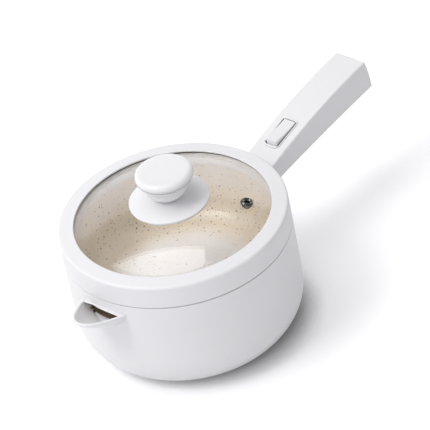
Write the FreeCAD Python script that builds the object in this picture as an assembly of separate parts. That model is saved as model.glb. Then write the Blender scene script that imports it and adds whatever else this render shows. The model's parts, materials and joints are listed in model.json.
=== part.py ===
import FreeCAD
import Part
import math
import os

# A small electric hot pot with a long handle, a pour lip and a lift-off glass lid.
# Millimetres, +Z up. The origin is on the pot's axis, on the table that it stands on.
# The handle points along +X and the pour lip along -X.

# ---------------------------------------------------------------- outer shell
body_radius = 95.5          # outside of the moulded wall
body_top = 95.5             # top edge of the wall above the table
shell_wall = 2.5
foot_height = 2.0
corner_width = 30.0         # how far the bottom corner curves in
corner_height = 35.0        # how high the bottom corner starts
corner_floor_round = 26.0   # the corner's tighter radius, next to the floor
edge_break = 0.5            # small chamfer on the top edge
shelf_width = 2.8           # inner shelf that carries the top collar
shelf_depth = 3.1           # shelf face below the wall's top
shelf_rise = 2.0            # height of the shelf's sloping underside
base_band = 39.0            # wall's outside to the edge of the service hole in the bottom
rebate_width = 4.0          # ledge around the hole that the base cover closes
rebate_depth = 2.3
rebate_wall = 2.2

# ---------------------------------------------------------------- pour lip
lip_half_width = 23.5       # half the mouth where it leaves the wall
lip_reach = 30.0            # how far the tip stands out from the wall
lip_root_drop = 9.1         # lip edge below the wall's top, at the wall
lip_tip_drop = 3.7          # and at the tip
lip_wall = 1.9
lip_depth = 17.0            # how far the scoop runs down the wall
pour_half_width = 17.5      # slot through the wall behind the lip
pour_top_drop = 9.3
pour_height = 11.8
pour_corner = 7.0

# ---------------------------------------------------------------- inner pot
pot_side_gap = 8.5          # air between the wall and the pot
pot_wall = 1.5
pot_floor = 52.0            # cooking surface above the table
pot_corner = 18.0
rim_rise = 7.0              # rolled rim above the outer wall's top
rim_width = 4.5             # flat of the rolled rim
rim_drop = 3.4
window_margin = 1.5         # pot window smaller than the slot by this, all round
collar_gap = 0.3
collar_upstand = 1.0
collar_plate = 2.9
gasket_height = 0.8

# ---------------------------------------------------------------- heater and base
plate_gap = 2.5             # heater plate inside the service hole's edge
plate_thick = 5.0
ridge_inset = 8.0           # cast ridge around the heating tube, from the plate's edge
ridge_width = 10.0
ridge_depth = 6.0
ridge_gap_angle = 32.0      # half the gap that the tube's ends come out of
pin_bead_radius = 2.6
pin_radius = 1.2
pin_length = 11.0
post_inset = 16.0           # three posts tie the base cover to the heater plate, inside the ridge
post_radius = 5.0
post_count = 3
post_split = 10.0           # height where post and plate boss meet
cover_plate = 2.1
cover_gap = 0.3
vent_slots = 10
vent_slot_width = 2.2
vent_slot_length = 9.0
vent_slot_circle = 15.0
foot_inset = 2.5            # foot ring inside the service hole's edge
foot_width = 7.0
foot_round = 0.6
screw_radius = 2.0
screw_head_radius = 3.7
screw_head_height = 2.1
screw_grip = 12.0           # how far a base screw bites into the plate's boss
screw_gap = 0.1
thermostat_radius = 7.9
thermostat_flange = 9.2
thermostat_height = 8.0
flange_thick = 2.1
strap_thick = 1.0
strap_width = 11.0
strap_screw_offset = 14.0
strap_screw_radius = 1.4
fuse_radius = 2.2
fuse_length = 17.0
fuse_gap = 4.5              # fuse beside the end of the thermostat's strap
fuse_clip_width = 4.0
fuse_clip_thick = 0.8

# ---------------------------------------------------------------- handle
handle_width = 31.7
handle_root_drop = 1.9      # top of the root below the wall's top edge
handle_root_depth = 15.0    # thickness where it leaves the wall
handle_mid_reach = 70.5     # middle of the grip, from the wall
handle_mid_rise = 16.1      # its top above the wall's top edge
handle_mid_depth = 25.2
handle_end_reach = 139.9    # top of the end face, from the wall
handle_end_rise = 25.0
handle_end_depth = 28.4
handle_end_lean = 4.3       # the foot of the end face reaches this much further
handle_end_bulge = 0.8
handle_round = 1.8
handle_wall = 2.4
handle_root_wall = 3.0
seat_gap = 0.1              # between parts that are screwed together
cover_fit = 0.2
bracket_thick = 1.5
bracket_angle = 13.0        # half of what the steel bracket spans
bracket_height = 8.0
handle_screw_y = 9.3
handle_boss_radius = 3.3
handle_boss_length = 13.0
lead_hole_radius = 4.0
grip_screw_root = 23.0      # first screw of the underside's cover, from the wall
grip_screw_past = 7.5       # second, past the middle of the grip
grip_screw_back = 35.9      # third, short of the handle's end
grip_boss_radius = 3.3
grip_screw_radius = 1.5
grip_head_radius = 2.9
grip_head_height = 1.7

# ---------------------------------------------------------------- rocker switch
switch_reach = 42.6         # centre of the switch, from the wall
bezel_length = 32.8
bezel_width = 16.0
bezel_round = 4.4
bezel_proud = 0.8
bezel_seat = 0.5
tube_length = 31.0
tube_width = 14.6
tube_round = 3.0
tube_depth = 9.0
opening_length = 29.4
opening_width = 13.0
opening_round = 2.6
rocker_gap = 0.35
rocker_pivot_depth = 3.1
rocker_top_angle = 25.5     # where the end arc meets the top
rocker_low_angle = 12.0
rocker_dish = 0.6
rocker_tilt = 8.0           # either way from level
rocker_round = 1.0
rocker_corner = 3.0
rocker_pin_radius = 1.5
rocker_pin_gap = 0.05
housing_depth = 3.0
tab_width = 4.8
tab_thick = 0.8
tab_length = 4.5
tab_pitch = 8.0

# ---------------------------------------------------------------- power inlet
inlet_width = 25.4
inlet_height = 18.6
inlet_chamfer = 4.6
inlet_wall = 1.7
inlet_recess = 16.0
inlet_back = 3.0
inlet_inset = 0.4           # socket face behind the handle's end at its top
inlet_pin_width = 4.0
inlet_pin_thick = 2.0
inlet_pin_length = 10.5
inlet_pin_pitch = 7.0
inlet_earth_offset = 4.0
inlet_tail = 5.0

# ---------------------------------------------------------------- leads
lead_radius = 1.05
lead_lane = 2.4             # spacing of the leads through the wall
bracket_slot = 6.0          # hole for the leads through the bracket
lead_bend = 6.0             # short runs between a lead's bends
lead_drop = 30.0            # straight run down beside the pot
lead_floor = 5.4            # leads lie this far above the bottom
lead_entry = 12.0           # the leads gather this far inside the handle's root
lead_pin_run = 4.0          # straight run away from an inlet pin
# Places inside the handle: past the switch, to the side, above the underside.
live_route = ((50.0, 7.8, 9.0), (28.0, 7.0, 6.5))
switched_route = ((-17.0, 7.4, 6.0),)
neutral_route = ((45.0, -8.6, 8.0), (10.0, -9.4, 5.4), (-17.0, -8.8, 5.0))
earth_route = ((45.0, -9.4, 13.0), (10.0, -9.8, 9.0), (-17.0, -9.0, 8.6))
# The bends at a tab of the switch, measured from it.
live_bends = ((8.5, 3.2, -1.6), (1.8, 0.6, 0.4))
switched_bends = ((-2.0, 0.6, 0.2), (-8.0, 5.0, -1.2))
earth_bend = (-8.0, -4.4, -0.4)
# Where the leads gather at the root: to the side, above the underside.
switched_entry = (4.9, 6.2)
neutral_entry = (-4.9, 5.8)
earth_entry = (-3.4, 9.2)

# ---------------------------------------------------------------- lid
lid_gap = 0.6               # dark joint line between lid and body
lid_height = 21.5           # lid's top edge above the body's top edge
lid_wall = 2.5
lid_edge_round = 2.6
lid_band = 13.6             # width of the white ring, to its inside edge
lid_crown = 1.15            # the ring's inside edge is this much higher
lid_lip = 1.6
lid_lip_round = 0.8
glass_thick = 3.8
glass_hold = 3.0            # how far the glass reaches under the ring
glass_margin = 1.5          # flat brim that shows inside the ring, where the dome starts
glass_rise = 17.0           # dome above the brim
seal_thick = 0.4
seal_reach = 1.3            # black channel around the edge of the glass
skirt_gap = 0.3             # skirt inside the pot's wall
skirt_wall = 0.9
skirt_engage = 0.5          # how far the skirt drops into the pot
retainer_plate = 2.0
retainer_wall = 2.0
lid_gasket_width = 2.4
lid_gasket_flange = 1.7
knob_base_radius = 33.4
knob_base_height = 4.85
knob_base_wall = 2.2
knob_base_lift = 0.4
knob_base_edge = 2.5        # height of the disc's rounded edge
knob_base_pocket = 0.7      # depth of the washer's seat in the disc
knob_foot_radius = 10.0
knob_stem_height = 17.5
knob_waist_radius = 14.2    # stem part of the way up
knob_waist_height = 11.4
knob_ledge_radius = 22.6
knob_ledge_height = 1.0
knob_ledge_chamfer = 0.6
knob_cap_radius = 24.2
knob_cap_height = 7.3
knob_cap_flat = 17.0
knob_cap_under = 22.9
knob_cap_gap = 0.4
knob_cap_low_round = 2.6
knob_cap_top_round = 4.3
knob_cap_crown = 0.25
knob_spigot_radius = 15.0
knob_spigot_depth = 3.0
knob_screw_radius = 2.5
knob_screw_head = 5.2
knob_screw_head_height = 2.8
knob_screw_length = 21.0
knob_hole_gap = 0.2
washer_radius = 13.0
washer_thick = 1.0
washer_gap = 0.5
lower_washer_radius = 8.0
vent_distance = 62.6        # from the axis
vent_angle = -56.3          # seen from above, from the handle
vent_lift = 0.25            # clear of the curved glass
vent_flange = 5.5
vent_proud = 2.2            # crest of the rounded ring above the glass
vent_crest = 3.9
vent_tube = 3.0
vent_bore = 2.0
vent_roll = 3.7             # rolled edge under the glass
vent_roll_thick = 0.7

# ---------------------------------------------------------------- derived levels
lid_bottom = body_top + lid_gap
lid_top = body_top + lid_height
pot_rim_top = body_top + rim_rise
shell_inner = body_radius - shell_wall
pot_outer = shell_inner - pot_side_gap
pot_radius = pot_outer - pot_wall
rim_outer = pot_radius + rim_width
base_opening = body_radius - base_band
plate_radius = base_opening - plate_gap
ridge_radius = plate_radius - ridge_inset
post_circle = ridge_radius - post_inset
fuse_x = -(strap_screw_offset + strap_width / 2 + fuse_gap + fuse_radius + fuse_clip_thick)
foot_outer = base_opening - foot_inset
foot_inner = foot_outer - foot_width
screw_seat = foot_height + screw_head_height + cover_gap
lid_opening = body_radius - lid_band
glass_radius = lid_opening + glass_hold
glass_brim = lid_opening - glass_margin
skirt_inner = pot_radius - skirt_gap - skirt_wall
shelf_z = body_top - shelf_depth
plate_top = pot_floor - pot_wall
plate_under = plate_top - plate_thick
lip_under = lid_top + lid_crown - lid_lip
glass_top = lip_under - seal_thick
glass_under = glass_top - glass_thick
glass_crown = glass_top + glass_rise
retainer_top = glass_under - seal_thick
retainer_under = retainer_top - retainer_plate
washer_under = glass_crown + knob_hole_gap / 2
base_seat = washer_under + washer_thick
base_top = base_seat + knob_base_height - 3 * washer_thick
knob_ledge_z = base_top + knob_stem_height
knob_cap_z = knob_ledge_z + knob_ledge_height + knob_cap_gap
post_steps = [270.0 + 360.0 * k / post_count for k in range(post_count)]
handle_mid_x = body_radius + handle_mid_reach
handle_end_x = body_radius + handle_end_reach
handle_root_top = body_top - handle_root_drop
handle_mid_top = body_top + handle_mid_rise
handle_end_top = body_top + handle_end_rise
handle_root_bottom = handle_root_top - handle_root_depth
handle_mid_bottom = handle_mid_top - handle_mid_depth
handle_end_bottom = handle_end_top - handle_end_depth
bracket_top = shelf_z - shelf_rise - seat_gap
handle_screw_z = bracket_top - bracket_height / 2
grip_screw_x = [body_radius + grip_screw_root, handle_mid_x + grip_screw_past, handle_end_x - grip_screw_back]
switch_x = body_radius + switch_reach

Z = FreeCAD.Vector(0, 0, 1)
ORIGIN = FreeCAD.Vector(0, 0, 0)


def vec(x, y, z):
    return FreeCAD.Vector(x, y, z)


def across(r, z):
    """A point of a turned part's section."""
    return vec(r, 0, z)


def outline(place, start, steps):
    """A closed face. A step holds an end point, an arc's middle and end, or a curve's two pulls and end."""
    edges = []
    here = place(*start)
    for step in list(steps) + [[start]]:
        there = [place(*point) for point in step]
        if there[-1].distanceToPoint(here) < 1e-6:
            continue
        if len(there) == 1:
            edges.append(Part.makeLine(here, there[0]))
        elif len(there) == 2:
            edges.append(Part.Arc(here, there[0], there[1]).toShape())
        else:
            curve = Part.BezierCurve()
            curve.setPoles([here] + there)
            edges.append(curve.toShape())
        here = there[-1]
    return Part.Face(Part.Wire(edges))


def turned(start, steps, angle=360.0):
    """A solid turned about the Z axis from its section."""
    return outline(across, start, steps).revolve(ORIGIN, Z, angle)


def cylinder(radius, z0, z1, x=0.0, y=0.0):
    return Part.makeCylinder(radius, z1 - z0, vec(x, y, z0), Z)


def rod(radius, start, end):
    """A cylinder between two points."""
    way = end - start
    return Part.makeCylinder(radius, way.Length, start, way)


def block(x0, x1, y0, y1, z0, z1):
    return Part.makeBox(x1 - x0, y1 - y0, z1 - z0, vec(x0, y0, z0))


def rounded_block(length, width, radius, z0, z1):
    """A block with round corners seen from above, centred on the Z axis."""
    x = length / 2
    y = width / 2
    k = radius * (1 - math.sqrt(0.5))
    flat = outline(lambda a, b: vec(a, b, z0), (x - radius, -y), [
        [(x - k, -y + k), (x, -y + radius)],
        [(x, y - radius)],
        [(x - k, y - k), (x - radius, y)],
        [(radius - x, y)],
        [(k - x, y - k), (-x, y - radius)],
        [(-x, radius - y)],
        [(k - x, k - y), (radius - x, -y)],
    ])
    return flat.extrude(vec(0, 0, z1 - z0))


def polar(radius, degrees):
    angle = math.radians(degrees)
    return radius * math.cos(angle), radius * math.sin(angle)


def corner_arcs(radius, z, width, height, floor_round):
    """Two tangent arcs from a flat floor to an upright wall: floor end, middle, joint, middle, wall end."""
    wall_round = (width ** 2 + height ** 2 - 2 * height * floor_round) / (2 * (width - floor_round))
    floor_centre = (radius - width, z + floor_round)
    wall_centre = (radius - wall_round, z + height)
    joint = math.atan2(floor_centre[1] - wall_centre[1], floor_centre[0] - wall_centre[0])
    points = []
    for centre, reach, angle in ((floor_centre, floor_round, -math.pi / 2),
                                 (floor_centre, floor_round, (joint - math.pi / 2) / 2),
                                 (floor_centre, floor_round, joint),
                                 (wall_centre, wall_round, joint / 2),
                                 (wall_centre, wall_round, 0.0)):
        points.append((centre[0] + reach * math.cos(angle), centre[1] + reach * math.sin(angle)))
    return points


def joined(solids):
    """Solids fused into one."""
    whole = solids[0].fuse(solids[1:])
    return whole.removeSplitter()


def circle_through(a, b, c):
    """Centre and radius of the circle through three points of a side view."""
    (ax, az), (bx, bz), (cx, cz) = a, b, c
    d = 2 * (ax * (bz - cz) + bx * (cz - az) + cx * (az - bz))
    sa = ax * ax + az * az
    sb = bx * bx + bz * bz
    sc = cx * cx + cz * cz
    ux = (sa * (bz - cz) + sb * (cz - az) + sc * (az - bz)) / d
    uz = (sa * (cx - bx) + sb * (ax - cx) + sc * (bx - ax)) / d
    return ux, uz, math.hypot(ax - ux, az - uz)


def height_on(circle, x):
    """Height of the upper side of a circle at x."""
    ux, uz, radius = circle
    return uz + math.sqrt(radius * radius - (x - ux) ** 2)


def offset(circle, inwards):
    ux, uz, radius = circle
    return ux, uz, radius - inwards


# ---------------------------------------------------------------- body pieces
def spout_section(drop_root, drop_tip, half_width, reach):
    """One closed loop of the scoop: a parabola in plan, closed inside the wall."""
    root_x = -math.sqrt(body_radius ** 2 - half_width ** 2) + shell_wall / 2
    tip_x = -(body_radius + reach)
    slope = (drop_root - drop_tip) / (root_x - tip_x)
    z_root = body_top - drop_root
    pull = vec(2 * tip_x - root_x, 0, z_root + slope * 2 * (root_x - tip_x))
    left = vec(root_x, half_width, z_root)
    right = vec(root_x, -half_width, z_root)
    curve = Part.BezierCurve()
    curve.setPoles([left, pull, right])
    return Part.Wire([curve.toShape(), Part.makeLine(right, left)])


def scoop(shrink):
    """The solid inside the pour lip, drawn in by a wall thickness."""
    reach_share = ((0.0, 1.0), (0.33, 0.83), (0.68, 0.50), (0.90, 0.20))
    width_share = (1.0, 0.90, 0.66, 0.36)
    loops = []
    for (fall, reach), width in zip(reach_share, width_share):
        root = lip_root_drop + fall * (lip_depth - shrink)
        tip = root - (lip_root_drop - lip_tip_drop) * reach
        loops.append(spout_section(root, tip, lip_half_width * width - shrink, lip_reach * reach - shrink))
    return Part.makeLoft(loops, True, False)


def pour_hole(half_width, drop, height, x_outer, x_inner):
    """The slot behind the lip: straight above, round below."""
    top = body_top - drop
    low = top - height
    soft = pour_corner * 0.6
    pull = pour_corner * 0.2
    face = outline(lambda y, z: vec(x_outer, y, z), (-half_width, top), [
        [(half_width, top)],
        [(half_width, low + soft)],
        [(half_width, low + pull), (half_width - soft, low), (soft, low)],
        [(-soft, low)],
        [(soft - half_width, low), (-half_width, low + pull), (-half_width, low + soft)],
    ])
    return face.extrude(vec(x_inner - x_outer, 0, 0))


def make_outer_shell():
    """White moulded wall with the pour lip, the collar shelf and the rebate for the base cover."""
    z0 = foot_height
    outside = corner_arcs(body_radius, z0, corner_width, corner_height, corner_floor_round)
    inside = corner_arcs(shell_inner, z0 + shell_wall, corner_width - shell_wall, corner_height - shell_wall,
                         corner_floor_round - shell_wall)
    wall = turned((base_opening + rebate_width, z0), [
        [outside[0]], outside[1:3], outside[3:5],
        [(body_radius, body_top - edge_break)],
        [(body_radius - edge_break, body_top)],
        [(shell_inner, body_top)],
        [(shell_inner, shelf_z)],
        [(shell_inner - shelf_width, shelf_z)],
        [(shell_inner, shelf_z - shelf_rise)],
        [inside[4]], [inside[3], inside[2]], [inside[1], inside[0]],
        [(base_opening + rebate_width + rebate_wall, z0 + shell_wall)],
        [(base_opening + rebate_width + rebate_wall, z0 + rebate_depth + rebate_wall)],
        [(base_opening, z0 + rebate_depth + rebate_wall)],
        [(base_opening, z0 + rebate_depth)],
        [(base_opening + rebate_width, z0 + rebate_depth)],
    ])
    inside = cylinder(shell_inner, z0 + corner_height, shelf_z - shelf_rise)
    beyond_wall = cylinder(body_radius, z0, body_top)
    lip = scoop(0.0).cut(inside)
    hollow = scoop(lip_wall).cut(beyond_wall)
    shell = wall.fuse(lip).cut(hollow)
    slot = pour_hole(pour_half_width, pour_top_drop, pour_height, -body_radius - lip_wall, -shell_inner + shell_wall)
    shell = shell.cut(slot.common(beyond_wall))
    for y in (-handle_screw_y, handle_screw_y):
        shell = shell.cut(rod(screw_radius + screw_gap, vec(shell_inner - shell_wall, y, handle_screw_z),
                              vec(body_radius + shell_wall, y, handle_screw_z)))
    return shell.cut(rod(lead_hole_radius, vec(shell_inner - shell_wall, 0, handle_screw_z),
                         vec(body_radius + shell_wall, 0, handle_screw_z)))


def make_inner_pot():
    """Drawn aluminium pot with a rolled rim and a window behind the pour lip."""
    bend = pot_wall * 0.8
    middle = 1 - math.sqrt(0.5)
    outer_corner = pot_corner + pot_wall
    pot = turned((0, pot_floor), [
        [(pot_radius - pot_corner, pot_floor)],
        [(pot_radius - pot_corner * middle, pot_floor + pot_corner * middle),
         (pot_radius, pot_floor + pot_corner)],
        [(pot_radius, pot_rim_top - bend)],
        [(pot_radius + bend * 0.3, pot_rim_top - bend * 0.3), (pot_radius + bend, pot_rim_top)],
        [(rim_outer - bend, pot_rim_top)],
        [(rim_outer - bend * 0.3, pot_rim_top - bend * 0.3), (rim_outer, pot_rim_top - bend)],
        [(rim_outer, pot_rim_top - rim_drop)],
        [(rim_outer - pot_wall, pot_rim_top - rim_drop)],
        [(rim_outer - pot_wall, pot_rim_top - pot_wall)],
        [(pot_outer, pot_rim_top - pot_wall)],
        [(pot_outer, pot_floor + pot_corner)],
        [(pot_outer - outer_corner * middle, plate_top + outer_corner * middle),
         (pot_outer - outer_corner, plate_top)],
        [(0, plate_top)],
    ])
    window = pour_hole(pour_half_width - window_margin, pour_top_drop + window_margin,
                       pour_height - 2 * window_margin, -pot_outer - pot_wall, 2 * pot_wall - pot_radius)
    return pot.cut(window)


def make_spout_gasket():
    """Silicone sleeve that joins the pot's window to the slot in the shell."""
    x_out = -shell_inner - shell_wall
    x_in = -pot_outer + pot_wall
    sleeve = pour_hole(pour_half_width + window_margin, pour_top_drop - window_margin,
                       pour_height + 2 * window_margin, x_out, x_in)
    way = pour_hole(pour_half_width - window_margin / 2, pour_top_drop + window_margin / 2,
                    pour_height - window_margin, x_out - pot_wall, x_in + pot_wall)
    ring = cylinder(shell_inner - seat_gap, foot_height, body_top)
    ring = ring.cut(cylinder(pot_outer + seat_gap, foot_height, body_top))
    return sleeve.cut(way).common(ring)


def make_top_collar():
    """Plastic collar that closes the space between the wall and the pot under its rim."""
    inner = pot_outer + collar_gap
    outer = shell_inner - cover_fit
    top = shelf_z + collar_plate
    return turned((inner, shelf_z), [
        [(outer, shelf_z)],
        [(outer, top)],
        [(inner + collar_upstand, top)],
        [(inner + collar_upstand, pot_rim_top - pot_wall - gasket_height)],
        [(inner, pot_rim_top - pot_wall - gasket_height)],
    ])


def make_rim_gasket():
    """Silicone ring between the collar's upstand and the underside of the rolled rim."""
    inner = pot_outer + collar_gap
    top = pot_rim_top - pot_wall
    return turned((inner, top - gasket_height), [
        [(inner + collar_upstand, top - gasket_height)],
        [(inner + collar_upstand, top)],
        [(inner, top)],
    ])


def make_heater_plate():
    """Cast plate under the pot with the ridge around its heating tube and three bosses."""
    plate = cylinder(plate_radius, plate_under, plate_top)
    low = plate_under - ridge_depth
    half = ridge_width / 2
    ridge = turned((ridge_radius - half, plate_under), [
        [(ridge_radius + half, plate_under)],
        [(ridge_radius + half * 0.7, low + half * 0.5)],
        [(ridge_radius, low), (ridge_radius - half * 0.7, low + half * 0.5)],
    ], 360.0 - 2 * ridge_gap_angle)
    ridge.rotate(ORIGIN, Z, ridge_gap_angle)
    solids = [plate, ridge]
    for angle in post_steps:
        x, y = polar(post_circle, angle)
        solids.append(cylinder(post_radius, post_split, plate_under, x, y))
    for x in (-strap_screw_offset, strap_screw_offset):
        solids.append(cylinder(2.2 * strap_screw_radius, plate_under - flange_thick, plate_under, x, 0))
    plate = joined(solids)
    for angle in post_steps:
        x, y = polar(post_circle, angle)
        plate = plate.cut(cylinder(screw_radius + screw_gap, post_split, post_split + screw_grip, x, y))
    for x in (-strap_screw_offset, strap_screw_offset):
        plate = plate.cut(cylinder(strap_screw_radius + screw_gap, plate_under - flange_thick,
                                   plate_under + plate_thick / 2, x, 0))
    return plate


def tube_end(side):
    """Place and heading of one end of the heating tube."""
    x, y = polar(ridge_radius, side * ridge_gap_angle)
    return vec(x, y, plate_under - ridge_depth / 2), vec(y * side, -x * side, 0).normalize()


def make_heater_terminals():
    """The tube's two cold ends: a ceramic bead and a welded pin each."""
    solids = []
    for side in (-1, 1):
        start, way = tube_end(side)
        bead = rod(pin_bead_radius, start + way * seat_gap, start + way * (pin_length / 3))
        pin = rod(pin_radius, start + way * (pin_length / 3), start + way * pin_length)
        solids.append(joined([bead, pin]))
    return Part.makeCompound(solids)


def make_thermostat():
    """Button thermostat pressed against the plate, with two blades."""
    flange = cylinder(thermostat_flange, plate_under - flange_thick, plate_under)
    case = cylinder(thermostat_radius, plate_under - thermostat_height, plate_under - flange_thick)
    solids = [flange, case]
    low = plate_under - thermostat_height
    for y in (-thermostat_radius / 2, thermostat_radius / 2):
        solids.append(block(-tab_width / 2, tab_width / 2, y - tab_thick / 2, y + tab_thick / 2,
                            low - tab_length * 0.7, low))
    return joined(solids)


def make_thermostat_strap():
    """Sheet strap that holds the thermostat's flange."""
    top = plate_under - flange_thick
    length = strap_screw_offset + strap_width / 2
    strap = block(-length, length, -strap_width / 2, strap_width / 2, top - strap_thick, top)
    ring = cylinder(thermostat_flange, top - strap_thick, top)
    strap = joined([strap, ring])
    strap = strap.cut(cylinder(thermostat_radius + screw_gap, top - strap_thick, top))
    for x in (-strap_screw_offset, strap_screw_offset):
        strap = strap.cut(cylinder(strap_screw_radius + screw_gap, top - strap_thick, top, x, 0))
    return strap


def screw(radius, head_radius, head_height, length, tip, way):
    """A pan-head screw: the tip's place and the direction from head to tip."""
    head_face = tip - way * length
    head = Part.makeCone(head_radius * 0.72, head_radius, head_height, head_face - way * head_height, way)
    shank = rod(radius, head_face, tip)
    slot = Part.makeBox(head_radius * 3, head_radius * 0.28, head_height * 0.9,
                        vec(-head_radius * 1.5, -head_radius * 0.14, -head_height * 0.45))
    turn = FreeCAD.Rotation(Z, way)
    slot.Placement = FreeCAD.Placement(head_face - way * head_height, turn)
    return joined([head, shank]).cut(slot)


def make_strap_screws():
    solids = []
    top = plate_under - flange_thick - strap_thick
    for x in (-strap_screw_offset, strap_screw_offset):
        solids.append(screw(strap_screw_radius, 1.8 * strap_screw_radius, strap_screw_radius,
                            strap_thick + flange_thick, vec(x, 0, top + strap_thick + flange_thick), Z))
    return Part.makeCompound(solids)


def make_thermal_fuse():
    """One-shot fuse in its sleeve, held against the plate."""
    z = plate_under - fuse_radius - fuse_clip_thick
    body = rod(fuse_radius, vec(fuse_x, -fuse_length, z), vec(fuse_x, 0, z))
    tails = rod(fuse_radius * 0.35, vec(fuse_x, -fuse_length - fuse_radius * 2, z),
                vec(fuse_x, fuse_radius * 2, z))
    return joined([body, tails])


def make_fuse_clip():
    """Sheet clip around the fuse, riveted to the plate."""
    z = plate_under - fuse_radius - fuse_clip_thick
    y0 = -fuse_length / 2 - fuse_clip_width / 2
    y1 = y0 + fuse_clip_width
    outer = rod(fuse_radius + fuse_clip_thick, vec(fuse_x, y0, z), vec(fuse_x, y1, z))
    wing = fuse_radius * 2.6
    plate = block(fuse_x - fuse_radius, fuse_x + wing, y0, y1, plate_under - fuse_clip_thick, plate_under)
    clip = joined([outer, plate])
    return clip.cut(rod(fuse_radius + screw_gap / 2, vec(fuse_x, y0 - 1, z), vec(fuse_x, y1 + 1, z)))


def make_base_cover():
    """Round cover in the shell's rebate, with three posts and a ring of vent slots."""
    z0 = foot_height
    top = z0 + cover_plate
    solids = [cylinder(base_opening + rebate_width - cover_gap, z0, top)]
    for angle in post_steps:
        x, y = polar(post_circle, angle)
        solids.append(cylinder(post_radius, top, post_split, x, y))
    cover = joined(solids)
    for angle in post_steps:
        x, y = polar(post_circle, angle)
        cover = cover.cut(cylinder(screw_radius + screw_gap, z0, post_split, x, y))
        cover = cover.cut(cylinder(screw_head_radius + cover_gap, z0, screw_seat, x, y))
    slot = rounded_block(vent_slot_length, vent_slot_width, vent_slot_width * 0.45, z0, top)
    slot.translate(vec(vent_slot_circle, 0, 0))
    for k in range(vent_slots):
        cut = slot.copy()
        cut.rotate(ORIGIN, Z, 360.0 * k / vent_slots)
        cover = cover.cut(cut)
    return cover


def make_base_screws():
    """Screws up through the cover's posts into the heater plate's bosses."""
    solids = []
    tip = post_split + screw_grip - screw_gap
    for angle in post_steps:
        x, y = polar(post_circle, angle)
        solids.append(screw(screw_radius, screw_head_radius, screw_head_height, tip - screw_seat,
                            vec(x, y, tip), Z))
    return Part.makeCompound(solids)


def make_foot_ring():
    """Rubber ring that the pot stands on."""
    return turned((foot_inner + foot_round, 0), [
        [(foot_outer - foot_round, 0)],
        [(foot_outer, foot_round)],
        [(foot_outer, foot_height)],
        [(foot_inner, foot_height)],
        [(foot_inner, foot_round)],
    ])


# ---------------------------------------------------------------- handle pieces
root_x = body_radius
top_line = circle_through((root_x, handle_root_top), (handle_mid_x, handle_mid_top),
                          (handle_end_x, handle_end_top))
low_line = circle_through((root_x, handle_root_bottom), (handle_mid_x, handle_mid_bottom),
                          (handle_end_x + handle_end_lean, handle_end_bottom))


def handle_slab(upper, lower, x0, x_top, x_low, width, bulge=0.0):
    """The side view between two lines, drawn out across the handle."""
    middle = (x0 + x_top) / 2
    top = (x_top, height_on(upper, x_top))
    foot = (x_low, height_on(lower, x_low))
    end = [((x_top + x_low) / 2 + bulge, (top[1] + foot[1]) / 2), foot] if bulge else [foot]
    face = outline(lambda x, z: vec(x, -width / 2, z), (x0, height_on(upper, x0)), [
        [(middle, height_on(upper, middle)), top],
        end,
        [(middle, height_on(lower, middle)), (x0, height_on(lower, x0))],
    ])
    return face.extrude(vec(0, width, 0))


cavity_start = root_x + handle_root_wall + 1.0
cavity_end = handle_end_x - handle_wall
cavity_width = handle_width - 2 * handle_wall
inlet_z = (handle_end_top + handle_end_bottom) / 2


def inlet_shape(grow, x0, x1):
    """The socket's outline: a rectangle with two corners taken off above."""
    y = inlet_width / 2 + grow
    z = inlet_height / 2 + grow
    c = inlet_chamfer
    face = outline(lambda a, b: vec(x0, a, inlet_z + b), (-y, -z), [
        [(y, -z)], [(y, z - c)], [(y - c, z)], [(c - y, z)], [(-y, z - c)],
    ])
    return face.extrude(vec(x1 - x0, 0, 0))


def at_switch(shape):
    """Moves a shape drawn at the origin to the switch's place on the handle's top."""
    ux, uz, radius = top_line
    z = height_on(top_line, switch_x)
    angle = math.degrees(math.asin((switch_x - ux) / radius))
    placed = shape.copy()
    placed.Placement = FreeCAD.Placement(vec(switch_x, 0, z), FreeCAD.Rotation(vec(0, 1, 0), angle))
    return placed


def make_handle_body():
    """Upper half of the handle: top, sides and both ends, open below."""
    start = root_x - shell_wall
    blank = handle_slab(top_line, low_line, start, handle_end_x, handle_end_x + handle_end_lean, handle_width,
                        handle_end_bulge)
    rounds = [edge for edge in blank.Edges if edge.BoundBox.XMax > start + 1]
    blank = blank.makeFillet(handle_round, rounds)
    hollow = handle_slab(offset(top_line, handle_wall), offset(low_line, handle_round + shell_wall),
                         cavity_start, cavity_end, cavity_end, cavity_width)
    handle = blank.cut(hollow).cut(cylinder(body_radius + seat_gap, foot_height, lid_top))
    bosses = []
    for y in (-handle_screw_y, handle_screw_y):
        bosses.append(rod(handle_boss_radius, vec(cavity_start - 1, y, handle_screw_z),
                          vec(cavity_start + handle_boss_length - handle_root_wall, y, handle_screw_z)))
    for x in grip_screw_x:
        low = height_on(low_line, x + grip_boss_radius) + handle_wall + seat_gap
        bosses.append(cylinder(grip_boss_radius, low, height_on(top_line, x) - handle_wall / 2, x, 0))
    handle = joined([handle] + bosses)
    bore_end = cavity_start + handle_boss_length - 2 * handle_root_wall
    for y in (-handle_screw_y, handle_screw_y):
        handle = handle.cut(rod(screw_radius + screw_gap, vec(start, y, handle_screw_z),
                                vec(bore_end, y, handle_screw_z)))
    handle = handle.cut(rod(lead_hole_radius, vec(start, 0, handle_screw_z),
                            vec(cavity_start + handle_wall, 0, handle_screw_z)))
    for x in grip_screw_x:
        z = height_on(low_line, x)
        handle = handle.cut(cylinder(grip_screw_radius + screw_gap, z, z + handle_wall * 5, x, 0))
    handle = handle.cut(inlet_shape(cover_fit / 2, cavity_end - 1, handle_end_x + 2 * handle_end_lean))
    seat = rounded_block(bezel_length + 2 * seat_gap, bezel_width + 2 * seat_gap, bezel_round + seat_gap,
                         -bezel_seat, handle_wall)
    well = rounded_block(tube_length + cover_fit, tube_width + cover_fit, tube_round,
                         -tube_depth, handle_wall)
    return handle.cut(at_switch(seat)).cut(at_switch(well))


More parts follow.
